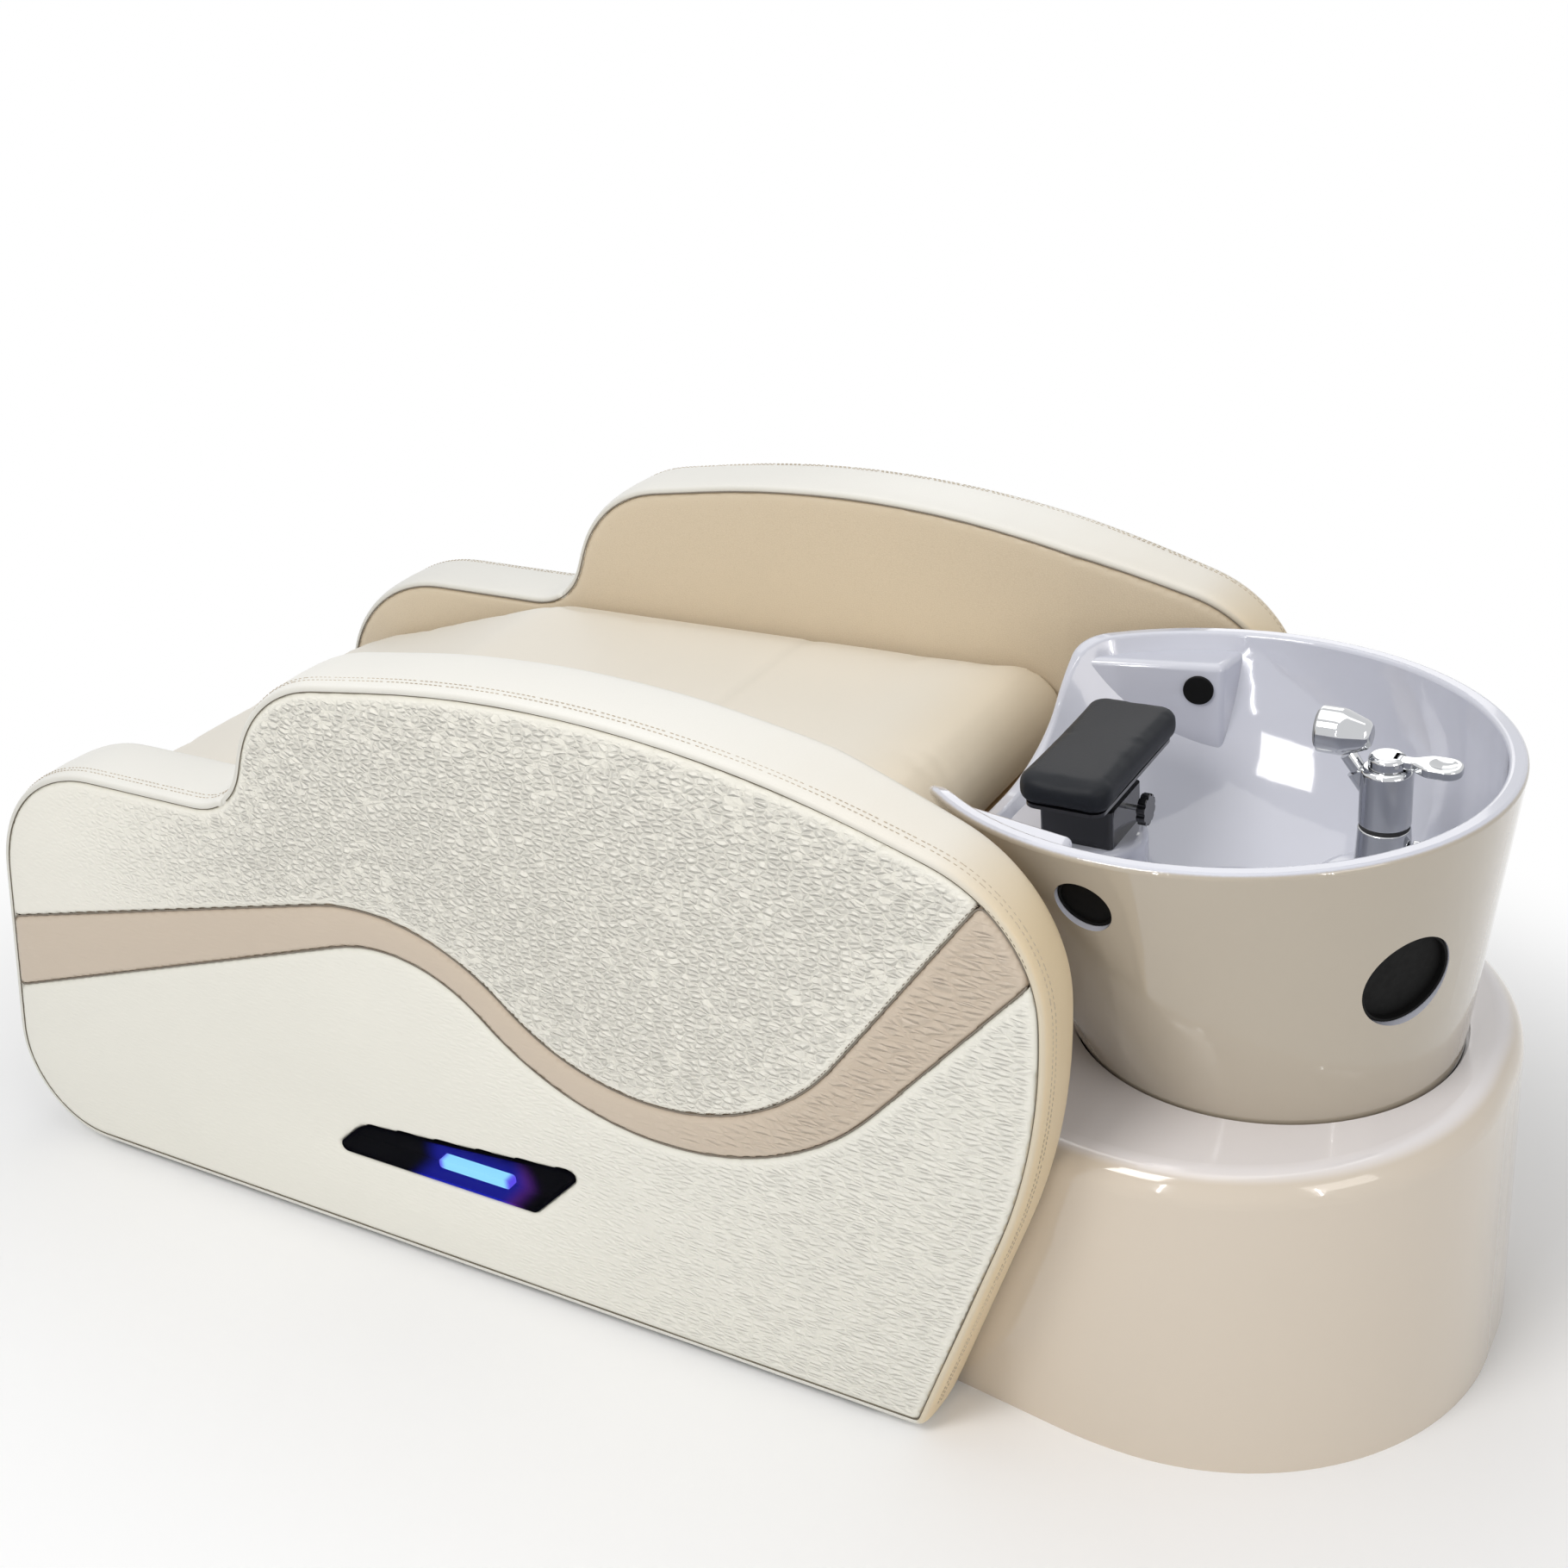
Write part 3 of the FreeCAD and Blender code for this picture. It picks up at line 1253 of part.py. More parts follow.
diverter_hole = rod("diverter_hole", "Sizes.diverter_stem_radius + Sizes.faucet_clearance",
                    "Sizes.diverter_length * 2", f"{diverter_start} - Sizes.faucet_clearance", "0",
                    diverter_z, ALONG)
node("faucet_base", cut("base_drilled", base_turned, diverter_hole))
stem_length = size("diverter_length")
knob_length = stem_length * 2
diverter_profile = [
    (0, 0, 0),
    (size("diverter_stem_radius"), 0, 0),
    (size("diverter_stem_radius"), stem_length, 0),
    (size("diverter_radius"), stem_length, size("knob_edge_radius")),
    (size("diverter_radius"), knob_length, size("knob_edge_radius")),
    (0, knob_length, 0),
]
node("diverter_knob", turned("diverter", diverter_profile, diverter_start, "0", diverter_z, ALONG))
shank_nut_profile = rectangle(value("Sizes.faucet_shank_radius + Sizes.pin_fit"), -size("faucet_nut_height"),
                              size("faucet_nut_radius"), 0)
node("faucet_nut", turned("shank_ring", shank_nut_profile, FAUCET_X, "0", POCKET_TOP))
BASE_TOP = "(Sizes.ledge_height + Sizes.faucet_base_height)"
BODY_FOOT = f"({BASE_TOP} + Sizes.faucet_seal_height)"
HUB_FOOT = f"({BODY_FOOT} + Sizes.faucet_body_height + Sizes.faucet_clearance)"
node("faucet_seal", rod("seal", "Sizes.faucet_radius - Sizes.faucet_seal_inset", "Sizes.faucet_seal_height",
                        FAUCET_X, "0", BASE_TOP))

body_profile = [
    (0, 0, 0),
    (size("faucet_radius"), 0, size("faucet_edge_radius")),
    (size("faucet_radius"), size("faucet_body_height"), size("faucet_crown_radius")),
    (0, size("faucet_body_height"), 0),
]
body_turned = turned("body_turned", body_profile, FAUCET_X, "0", BODY_FOOT)
lean = slope("socket_lean")
SOCKET_WAY = VEC(-math.sin(lean), 0, math.cos(lean))
SOCKET_Z = f"({BODY_FOOT} + Sizes.socket_start)"
socket = rod("socket", "Sizes.socket_radius", "Sizes.socket_length", FAUCET_X, "0", SOCKET_Z, SOCKET_WAY)


def along_socket(distance):
    """Place on the socket's axis, as expressions."""
    x = f"{FAUCET_X} - sin(Sizes.socket_lean) * {distance}"
    z = f"{SOCKET_Z} + cos(Sizes.socket_lean) * {distance}"
    return x, "0", z


bore_foot = "(Sizes.socket_length - Sizes.socket_depth)"
socket_bore = rod("socket_bore", "Sizes.handset_neck_radius + Sizes.faucet_clearance",
                  "Sizes.socket_depth * 2", *along_socket(bore_foot), SOCKET_WAY)
node("faucet_body", cut("body_bored", fused("body_socket", body_turned, socket), socket_bore))
handset_foot = f"({bore_foot} + Sizes.faucet_clearance)"
handset_neck = rod("handset_neck", "Sizes.handset_neck_radius",
                   "Sizes.socket_depth - Sizes.faucet_clearance + Sizes.handset_neck_reach",
                   *along_socket(handset_foot), SOCKET_WAY)
HEAD_X = f"({FAUCET_X} - Sizes.handset_setback)"
HEAD_Z = f"({SOCKET_Z} + Sizes.handset_rise)"
head_profile = [
    (0, 0, 0),
    (size("handset_back_radius"), 0, size("handset_back_rounding")),
    (size("handset_head_radius"), size("handset_flare"), size("handset_flare_rounding")),
    (size("handset_head_radius"), size("handset_head_length"), size("faucet_edge_radius")),
    (0, size("handset_head_length"), 0),
]
handset_head = turned("handset_head", head_profile, HEAD_X, "0", HEAD_Z, ALONG * -1)
node("handset", fused("hand_shower", handset_neck, handset_head))
face_profile = [
    (0, 0, 0),
    (size("spray_face_radius"), 0, 0),
    (size("spray_face_radius"), size("spray_face_height"), size("spray_edge_radius")),
    (0, size("spray_face_height"), 0),
]
node("spray_face", turned("spray", face_profile, f"{HEAD_X} - Sizes.handset_head_length", "0", HEAD_Z,
                          ALONG * -1))

hub_profile = [
    (0, 0, 0),
    (size("hub_radius"), 0, 0),
    (size("hub_radius"), size("hub_height"), size("hub_crown_radius")),
    (0, size("hub_height"), 0),
]
hub_turned = turned("hub_turned", hub_profile, FAUCET_X, "0", HUB_FOOT)
PIN_X = f"({FAUCET_X} + Sizes.lever_pin_offset)"
PIN_Z = f"({HUB_FOOT} + Sizes.hub_height / 2)"
slot = block("slot", "Sizes.hub_radius", "Sizes.lever_slot_width", "Sizes.hub_height * 2",
             f"{PIN_X} - Sizes.lever_tongue_radius - Sizes.faucet_clearance", "-Sizes.lever_slot_width / 2",
             f"{HUB_FOOT} - Sizes.hub_height / 2")
hub_pin_hole = rod("hub_pin_hole", "Sizes.lever_pin_radius + Sizes.pin_fit", "Sizes.hub_radius * 2",
                   PIN_X, "-Sizes.hub_radius", PIN_Z, ACROSS)
node("lever_hub", cut("hub_slotted", hub_turned, slot, hub_pin_hole))
pin_half = "(Sizes.lever_slot_width - Sizes.faucet_clearance * 2)"
node("lever_pin", rod("lever_axle", "Sizes.lever_pin_radius", f"2 * {pin_half}", PIN_X, f"-{pin_half}", PIN_Z,
                      ACROSS))
tongue_half = "(Sizes.lever_slot_width / 2 - Sizes.faucet_clearance)"
barrel = rod("barrel", "Sizes.lever_tongue_radius", f"2 * {tongue_half}", PIN_X, f"-{tongue_half}", PIN_Z,
             ACROSS)
pin_x = value(PIN_X)
stalk = value(tongue_half)
spoon = size("lever_width") / 2
stalk_end = pin_x + size("lever_stalk_length")
flare_end = pin_x + size("lever_flare_length")
lever_end = pin_x + size("lever_reach")
flare_radius = size("lever_flare_radius")
tip_radius = size("lever_tip_radius")
paddle_plan = [
    (pin_x, -stalk, 0),
    (stalk_end, -stalk, flare_radius),
    (flare_end, -spoon, tip_radius),
    (lever_end, -spoon, tip_radius),
    (lever_end, spoon, tip_radius),
    (flare_end, spoon, tip_radius),
    (stalk_end, stalk, flare_radius),
    (pin_x, stalk, 0),
]
paddle_foot = f"({PIN_Z} - Sizes.lever_thickness / 2)"
PADDLE_TOP = f"({PIN_Z} + Sizes.lever_thickness / 2)"
paddle = padded("paddle", "XY_Plane", [rounded(paddle_plan)], "Sizes.lever_thickness", z=paddle_foot)
paddle_faces = [top_edge(value(paddle_foot)), top_edge(value(PADDLE_TOP))]
paddle_soft = filleted("paddle_soft", paddle, size("lever_edge_radius"),
                       lambda edge: any(test(edge) for test in paddle_faces))
dish = ball("dish", "Sizes.lever_dish_radius", f"{PIN_X} + Sizes.lever_reach - Sizes.lever_dish_setback", "0",
            f"{PADDLE_TOP} + Sizes.lever_dish_radius - Sizes.lever_dish_depth")
paddle_hole = rod("paddle_hole", "Sizes.lever_pin_radius + Sizes.hinge_clearance", f"4 * {tongue_half}",
                  PIN_X, f"-2 * {tongue_half}", PIN_Z, ACROSS)
node("lever_paddle", cut("paddle_bored", fused("paddle_barrel", paddle_soft, barrel), paddle_hole, dish))

# Headrest: a bracket on the neck ledge, a pad that tilts on a pin, and a screw with a knob that locks it
bracket_half = value("Sizes.bracket_width / 2")
bracket_plan = rectangle(headrest_x - size("bracket_length") / 2, -bracket_half,
                         headrest_x + size("bracket_length") / 2, bracket_half, size("bracket_edge_radius"))
bracket_block = padded("bracket_block", "XY_Plane", [rounded(bracket_plan)], "Sizes.bracket_height",
                       z="Sizes.ledge_height")
bracket_top = "(Sizes.ledge_height + Sizes.bracket_height)"
bracket_parts = [bracket_block]
ear_starts = {"left": "-Sizes.bracket_width / 2", "right": "Sizes.bracket_width / 2 - Sizes.ear_thickness"}
for side, start in ear_starts.items():
    bracket_parts.append(block(f"ear_{side}", "2 * Sizes.hinge_radius", "Sizes.ear_thickness",
                               f"{HINGE_Z} - {bracket_top}",
                               f"{HEADREST_X} - Sizes.hinge_radius", start, bracket_top))
    bracket_parts.append(rod(f"ear_round_{side}", "Sizes.hinge_radius", "Sizes.ear_thickness",
                             HEADREST_X, start, HINGE_Z, ACROSS))
bracket_parts.append(rod("stud", "Sizes.bracket_stud_radius", "Sizes.bracket_stud_length", HEADREST_X, "0",
                         "Sizes.ledge_height", UP * -1))
ear_hole = rod("ear_hole", "Sizes.hinge_pin_radius + Sizes.pin_fit", "Sizes.bracket_width * 2",
               HEADREST_X, "-Sizes.bracket_width", HINGE_Z, ACROSS)
LOCK_Z = "(Sizes.ledge_height + Sizes.lock_height)"
BRACKET_BACK = f"({HEADREST_X} + Sizes.bracket_length / 2)"
LOCK_START = f"({BRACKET_BACK} - Sizes.lock_screw_grip)"
lock_hole = rod("lock_hole", "Sizes.lock_screw_radius + Sizes.hinge_clearance", "Sizes.lock_screw_grip * 2",
                f"{LOCK_START} - Sizes.hinge_clearance", "0", LOCK_Z, ALONG)
node("headrest_bracket", cut("bracket_drilled", fused("bracket_whole", *bracket_parts), ear_hole, lock_hole))
stud_nut_profile = rectangle(value("Sizes.bracket_stud_radius + Sizes.pin_fit"), -size("bracket_nut_height"),
                             size("bracket_nut_radius"), 0)
node("bracket_nut", turned("stud_ring", stud_nut_profile, HEADREST_X, "0", POCKET_TOP))
node("hinge_pin", rod("hinge_axle", "Sizes.hinge_pin_radius", "Sizes.bracket_width", HEADREST_X,
                      "-Sizes.bracket_width / 2", HINGE_Z, ACROSS))

knuckle_half = "(Sizes.bracket_width / 2 - Sizes.ear_thickness - Sizes.hinge_clearance)"
knuckle = rod("knuckle", "Sizes.hinge_radius", f"2 * {knuckle_half}", HEADREST_X, f"-{knuckle_half}", HINGE_Z,
              ACROSS)
web = block("web", "Sizes.hinge_radius", f"2 * {knuckle_half}", "Sizes.plate_rise",
            f"{HEADREST_X} - Sizes.hinge_radius / 2", f"-{knuckle_half}", HINGE_Z)
PLATE_Z = f"({HINGE_Z} + Sizes.plate_rise)"
PAD_Z = f"({PLATE_Z} + Sizes.plate_thickness)"
pad_x = headrest_x + size("headrest_shift")
pad_plan = rectangle(pad_x - size("headrest_length") / 2, -size("headrest_width") / 2,
                     pad_x + size("headrest_length") / 2, size("headrest_width") / 2,
                     size("headrest_corner_radius"))
plate = padded("plate", "XY_Plane", [rounded(inset(pad_plan, size("plate_inset")))], "Sizes.plate_thickness",
               z=PLATE_Z)
knuckle_hole = rod("knuckle_hole", "Sizes.hinge_pin_radius + Sizes.hinge_clearance",
                   "Sizes.bracket_width * 2", HEADREST_X, "-Sizes.bracket_width", HINGE_Z, ACROSS)
node("headrest_plate", cut("plate_bored", fused("plate_knuckle", plate, web, knuckle), knuckle_hole))
pad_block = padded("pad_block", "XY_Plane", [rounded(pad_plan)], "Sizes.headrest_thickness", z=PAD_Z)
pad_ends = [top_edge(value(PAD_Z)), top_edge(value(f"{PAD_Z} + Sizes.headrest_thickness"))]
node("headrest_pad", filleted("pad_soft", pad_block, size("headrest_edge_radius"),
                              lambda edge: any(test(edge) for test in pad_ends)))

knob_x = f"({BRACKET_BACK} + Sizes.lock_screw_reach)"
node("lock_screw", rod("lock_rod", "Sizes.lock_screw_radius",
                       "Sizes.lock_screw_grip + Sizes.lock_screw_reach", LOCK_START, "0", LOCK_Z, ALONG))
knob_profile = [
    (0, 0, 0),
    (size("lock_knob_radius"), 0, size("knob_edge_radius")),
    (size("lock_knob_radius"), size("lock_knob_thickness"), size("knob_edge_radius")),
    (0, size("lock_knob_thickness"), 0),
]
knob_disc = turned("knob_disc", knob_profile, knob_x, "0", LOCK_Z, ALONG)
scallop = rod("scallop", "Sizes.scallop_radius", "Sizes.lock_knob_thickness * 2", axis=ALONG)
scallop_places = []
for step in range(round(size("knob_scallops"))):
    turn = 2 * math.pi * step / size("knob_scallops")
    scallop_places.append(FreeCAD.Placement(VEC(
        value(knob_x) - size("lock_knob_thickness") / 2,
        size("lock_knob_radius") * math.cos(turn),
        value(LOCK_Z) + size("lock_knob_radius") * math.sin(turn)), FreeCAD.Rotation()))
node("lock_knob", cut("knob_gripped", knob_disc, repeated("scallops", scallop, scallop_places)))

doc.recompute()
for item in doc.Objects:
    broken = [word for word in ("Invalid", "Error") if word in item.State]
    if broken:
        raise RuntimeError(f"{item.Name}: {item.State}")
os.makedirs("parts", exist_ok=True)
for piece in nodes:
    if piece.Shape.isNull() or not piece.Shape.isValid():
        raise RuntimeError(f"{piece.Label}: shape is not valid")
    piece.Shape.exportStep(f"parts/{piece.Label}.step")
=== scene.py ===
import math

import bmesh
import bpy
from mathutils import Euler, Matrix, Vector, kdtree, noise


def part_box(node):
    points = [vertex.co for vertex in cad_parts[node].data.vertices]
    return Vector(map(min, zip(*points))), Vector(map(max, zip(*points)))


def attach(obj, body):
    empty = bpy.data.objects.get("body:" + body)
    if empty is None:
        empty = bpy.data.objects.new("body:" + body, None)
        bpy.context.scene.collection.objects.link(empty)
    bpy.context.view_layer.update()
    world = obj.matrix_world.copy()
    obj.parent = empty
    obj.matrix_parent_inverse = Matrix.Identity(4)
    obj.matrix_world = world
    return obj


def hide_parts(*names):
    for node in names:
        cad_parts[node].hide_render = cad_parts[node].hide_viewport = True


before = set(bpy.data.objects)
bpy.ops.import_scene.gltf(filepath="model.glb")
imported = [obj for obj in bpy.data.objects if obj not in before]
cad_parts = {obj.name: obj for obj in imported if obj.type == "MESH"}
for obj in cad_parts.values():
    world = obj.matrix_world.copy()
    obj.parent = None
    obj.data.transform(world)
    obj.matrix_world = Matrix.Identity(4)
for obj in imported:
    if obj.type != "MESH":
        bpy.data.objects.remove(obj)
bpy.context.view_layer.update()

# Studio. A pale floor, soft lamps above and on three sides, and a camera where the photo was taken from.
# Floor and world turn plain white away from the object, for the eye and for gloss, but not as light on it.
scene = bpy.context.scene
scene.view_settings.view_transform = "Standard"


def new_material(name):
    """An empty node material with its Principled shader."""
    material = bpy.data.materials.new(name)
    material.use_nodes = True
    tree = material.node_tree
    return material, tree, tree.nodes["Principled BSDF"]


def add_node(tree, kind, **settings):
    """A node with its settings; sockets are set by name or number in a dictionary called values."""
    node = tree.nodes.new(kind)
    values = settings.pop("values", {})
    for setting, value in settings.items():
        setattr(node, setting, value)
    for socket, value in values.items():
        node.inputs[socket].default_value = value
    return node


def seen_rays(tree):
    """Output that is 1 for what the eye, gloss and glass see, and 0 for light that falls on the object."""
    path = add_node(tree, "ShaderNodeLightPath")
    direct = add_node(tree, "ShaderNodeMath", operation="MAXIMUM")
    seen = add_node(tree, "ShaderNodeMath", operation="MAXIMUM")
    tree.links.new(path.outputs["Is Camera Ray"], direct.inputs[0])
    tree.links.new(path.outputs["Is Glossy Ray"], direct.inputs[1])
    tree.links.new(direct.outputs[0], seen.inputs[0])
    tree.links.new(path.outputs["Is Transmission Ray"], seen.inputs[1])
    return seen.outputs[0]


world = bpy.data.worlds.new("studio")
scene.world = world
world.use_nodes = True
sky = world.node_tree
sky_light = sky.nodes["Background"]
sky_light.inputs["Color"].default_value = (0.93, 0.96, 1.0, 1)
sky_light.inputs["Strength"].default_value = 0.42
sky_white = add_node(sky, "ShaderNodeBackground", values={"Color": (1, 1, 1, 1), "Strength": 1.0})
sky_mix = add_node(sky, "ShaderNodeMixShader")
sky.links.new(seen_rays(sky), sky_mix.inputs["Fac"])
sky.links.new(sky_light.outputs[0], sky_mix.inputs[1])
sky.links.new(sky_white.outputs[0], sky_mix.inputs[2])
sky.links.new(sky_mix.outputs[0], sky.nodes["World Output"].inputs["Surface"])

floor_half = 9.0
floor_reach = (1.20, 0.85, 1.0)
floor_mesh = bpy.data.meshes.new("studio_floor")
floor_corners = [(-floor_half, -floor_half, 0), (floor_half, -floor_half, 0),
                 (floor_half, floor_half, 0), (-floor_half, floor_half, 0)]
floor_mesh.from_pydata(floor_corners, [], [(0, 1, 2, 3)])
floor = bpy.data.objects.new("studio_floor", floor_mesh)
scene.collection.objects.link(floor)
floor_paint, floor_tree, floor_shader = new_material("studio_floor")
floor_shader.inputs["Base Color"].default_value = (0.93, 0.93, 0.93, 1)
floor_shader.inputs["Roughness"].default_value = 0.85
floor_white = add_node(floor_tree, "ShaderNodeEmission", values={"Color": (1, 1, 1, 1), "Strength": 1.0})
floor_place = add_node(floor_tree, "ShaderNodeTexCoord")
floor_scale = add_node(floor_tree, "ShaderNodeVectorMath", operation="DIVIDE", values={1: floor_reach})
floor_away = add_node(floor_tree, "ShaderNodeVectorMath", operation="LENGTH")
floor_fade = add_node(floor_tree, "ShaderNodeMapRange", interpolation_type="SMOOTHSTEP",
                      values={"From Min": 0.75, "From Max": 1.35})
floor_share = add_node(floor_tree, "ShaderNodeMath", operation="MULTIPLY")
floor_mix = add_node(floor_tree, "ShaderNodeMixShader")
floor_tree.links.new(floor_place.outputs["Object"], floor_scale.inputs[0])
floor_tree.links.new(floor_scale.outputs[0], floor_away.inputs[0])
floor_tree.links.new(floor_away.outputs["Value"], floor_fade.inputs["Value"])
floor_tree.links.new(floor_fade.outputs[0], floor_share.inputs[0])
floor_tree.links.new(seen_rays(floor_tree), floor_share.inputs[1])
floor_tree.links.new(floor_share.outputs[0], floor_mix.inputs["Fac"])
floor_tree.links.new(floor_shader.outputs[0], floor_mix.inputs[1])
floor_tree.links.new(floor_white.outputs[0], floor_mix.inputs[2])
floor_tree.links.new(floor_mix.outputs[0], floor_tree.nodes["Material Output"].inputs["Surface"])
floor_mesh.materials.append(floor_paint)


def soft_lamp(name, place, aim, spread, power, colour):
    """A lamp of some width and height pointed at a spot."""
    lamp = bpy.data.lights.new(name, "AREA")
    lamp.shape = "RECTANGLE"
    lamp.size, lamp.size_y = spread
    lamp.energy = power
    lamp.color = colour
    holder = bpy.data.objects.new(name, lamp)
    holder.location = place
    holder.rotation_euler = (Vector(aim) - Vector(place)).to_track_quat("-Z", "Y").to_euler()
    scene.collection.objects.link(holder)


soft_lamp("lamp_over", (0.1, 0.3, 3.2), (0.0, 0.0, 0.4), (2.6, 2.6), 22, (1.0, 0.98, 0.95))
soft_lamp("lamp_front", (-0.3, -2.5, 3.2), (-0.1, 0.0, 0.4), (1.4, 1.4), 55, (1.0, 0.98, 0.96))
soft_lamp("lamp_basin", (3.0, -1.2, 1.6), (0.6, 0.0, 0.4), (1.2, 1.2), 11, (1.0, 0.95, 0.9))
soft_lamp("lamp_far", (-0.6, 3.2, 2.2), (0.0, 0.0, 0.4), (1.6, 1.6), 9, (1.0, 0.98, 0.96))
soft_lamp("strip_left", (0.55, -3.0, 1.3), (0.62, 0.0, 0.4), (0.05, 1.6), 6.0, (1.0, 1.0, 1.0))
soft_lamp("strip_right", (3.2, -1.9, 1.2), (0.62, 0.0, 0.4), (0.04, 1.4), 5.0, (1.0, 1.0, 1.0))

photo_pixels = 1820
focal_pixels = 2440.6
lens_centre = (844.5, 785.8)
camera_data = bpy.data.cameras.new("camera")
camera_data.sensor_width = 36
camera_data.lens = camera_data.sensor_width * focal_pixels / photo_pixels
camera_data.shift_x = 0.5 - lens_centre[0] / photo_pixels
camera_data.shift_y = lens_centre[1] / photo_pixels - 0.5
camera = bpy.data.objects.new("camera", camera_data)
camera.location = (1.198, -1.833, 1.566)
camera.rotation_euler = Euler([math.radians(angle) for angle in (66.604, 4.617, 31.009)])
scene.collection.objects.link(camera)
scene.camera = camera

# Timber frame. Planed pine rails, crossbars, posts and bearers screwed together, with plywood decks on top
# and thick plywood cores for the side panels. The wood is left raw, because all of it is covered.


def timber_grain():
    """Node group with growth rings and fibres along one direction of sawn wood."""
    group = bpy.data.node_groups.new("timber_grain", "ShaderNodeTree")
    stretch = group.interface.new_socket("Stretch", in_out="INPUT", socket_type="NodeSocketVector")
    stretch.default_value = (2.0, 30.0, 30.0)
    for name in ("Ring", "Fibre"):
        group.interface.new_socket(name, in_out="OUTPUT", socket_type="NodeSocketFloat")
    start = add_node(group, "NodeGroupInput")
    end = add_node(group, "NodeGroupOutput")
    place = add_node(group, "ShaderNodeTexCoord")
    along = add_node(group, "ShaderNodeVectorMath", operation="MULTIPLY")
    rings = add_node(group, "ShaderNodeTexWave", values={"Scale": 0.5, "Distortion": 5.0, "Detail": 3.0})
    fibres = add_node(group, "ShaderNodeTexNoise", values={"Scale": 9.0, "Detail": 6.0})
    group.links.new(place.outputs["Object"], along.inputs[0])
    group.links.new(start.outputs["Stretch"], along.inputs[1])
    group.links.new(along.outputs[0], rings.inputs["Vector"])
    group.links.new(along.outputs[0], fibres.inputs["Vector"])
    group.links.new(rings.outputs["Fac"], end.inputs["Ring"])
    group.links.new(fibres.outputs["Fac"], end.inputs["Fibre"])
    return group


timber_group = timber_grain()


def sawn_wood(name, early, late, stretch):
    """Raw wood between the colours of its early and late growth."""
    material, tree, shader = new_material(name)
    grain = add_node(tree, "ShaderNodeGroup", node_tree=timber_group, values={"Stretch": stretch})
    tint = add_node(tree, "ShaderNodeMix", data_type="RGBA", values={6: (*early, 1), 7: (*late, 1)})
    rough = add_node(tree, "ShaderNodeMapRange", values={"To Min": 0.55, "To Max": 0.80})
    bump = add_node(tree, "ShaderNodeBump", values={"Distance": 0.0004})
    tree.links.new(grain.outputs["Ring"], tint.inputs["Factor"])
    tree.links.new(tint.outputs[2], shader.inputs["Base Color"])
    tree.links.new(grain.outputs["Fibre"], rough.inputs["Value"])
    tree.links.new(rough.outputs[0], shader.inputs["Roughness"])
    tree.links.new(grain.outputs["Fibre"], bump.inputs["Height"])
    tree.links.new(bump.outputs[0], shader.inputs["Normal"])
    return material


def finish_nodes(material, *nodes):
    """Give CAD nodes one finish."""
    for node in nodes:
        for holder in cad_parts[node].material_slots:
            holder.material = material


pine_early = (0.66, 0.47, 0.27)
pine_late = (0.50, 0.31, 0.15)
veneer_early = (0.68, 0.52, 0.34)
veneer_late = (0.58, 0.42, 0.25)
pine_long = sawn_wood("pine_long", pine_early, pine_late, stretch=(2, 30, 30))
pine_cross = sawn_wood("pine_cross", pine_early, pine_late, stretch=(30, 2, 30))
pine_upright = sawn_wood("pine_upright", pine_early, pine_late, stretch=(30, 30, 2))
plywood_deck = sawn_wood("plywood_deck", veneer_early, veneer_late, stretch=(3, 22, 900))
plywood_core = sawn_wood("plywood_core", veneer_early, veneer_late, stretch=(3, 700, 22))
finish_nodes(pine_long, "base_rails")
finish_nodes(pine_cross, "crossbars", "bearers", "knee_bearer")
finish_nodes(pine_upright, "posts")
finish_nodes(plywood_deck, "seat_deck", "leg_deck")
finish_nodes(plywood_core, "side_core_left", "side_core_right")

# Feet, driver and bolts. Moulded rubber levelling feet under the rails, a black plastic driver for the
# lights, black plastic kick strips under the panels, and zinc plated bolts that hold the frame together.


def handled_surface():
    """Node group for hard things: wide smudges and fine scuffs from use, and the peel of a moulding."""
    group = bpy.data.node_groups.new("handled_surface", "ShaderNodeTree")
    for name, usual in (("Smudge Scale", 9.0), ("Scuff Scale", 140.0), ("Peel Scale", 700.0)):
        socket = group.interface.new_socket(name, in_out="INPUT", socket_type="NodeSocketFloat")
        socket.default_value = usual
    for name in ("Smudge", "Scuff", "Peel"):
        group.interface.new_socket(name, in_out="OUTPUT", socket_type="NodeSocketFloat")
    start = add_node(group, "NodeGroupInput")
    end = add_node(group, "NodeGroupOutput")
    place = add_node(group, "ShaderNodeTexCoord")
    for name, detail in (("Smudge", 4.0), ("Scuff", 6.0), ("Peel", 1.0)):
        marks = add_node(group, "ShaderNodeTexNoise", values={"Detail": detail})
        group.links.new(place.outputs["Object"], marks.inputs["Vector"])
        group.links.new(start.outputs[f"{name} Scale"], marks.inputs["Scale"])
        group.links.new(marks.outputs["Fac"], end.inputs[name])
    return group


handled_group = handled_surface()


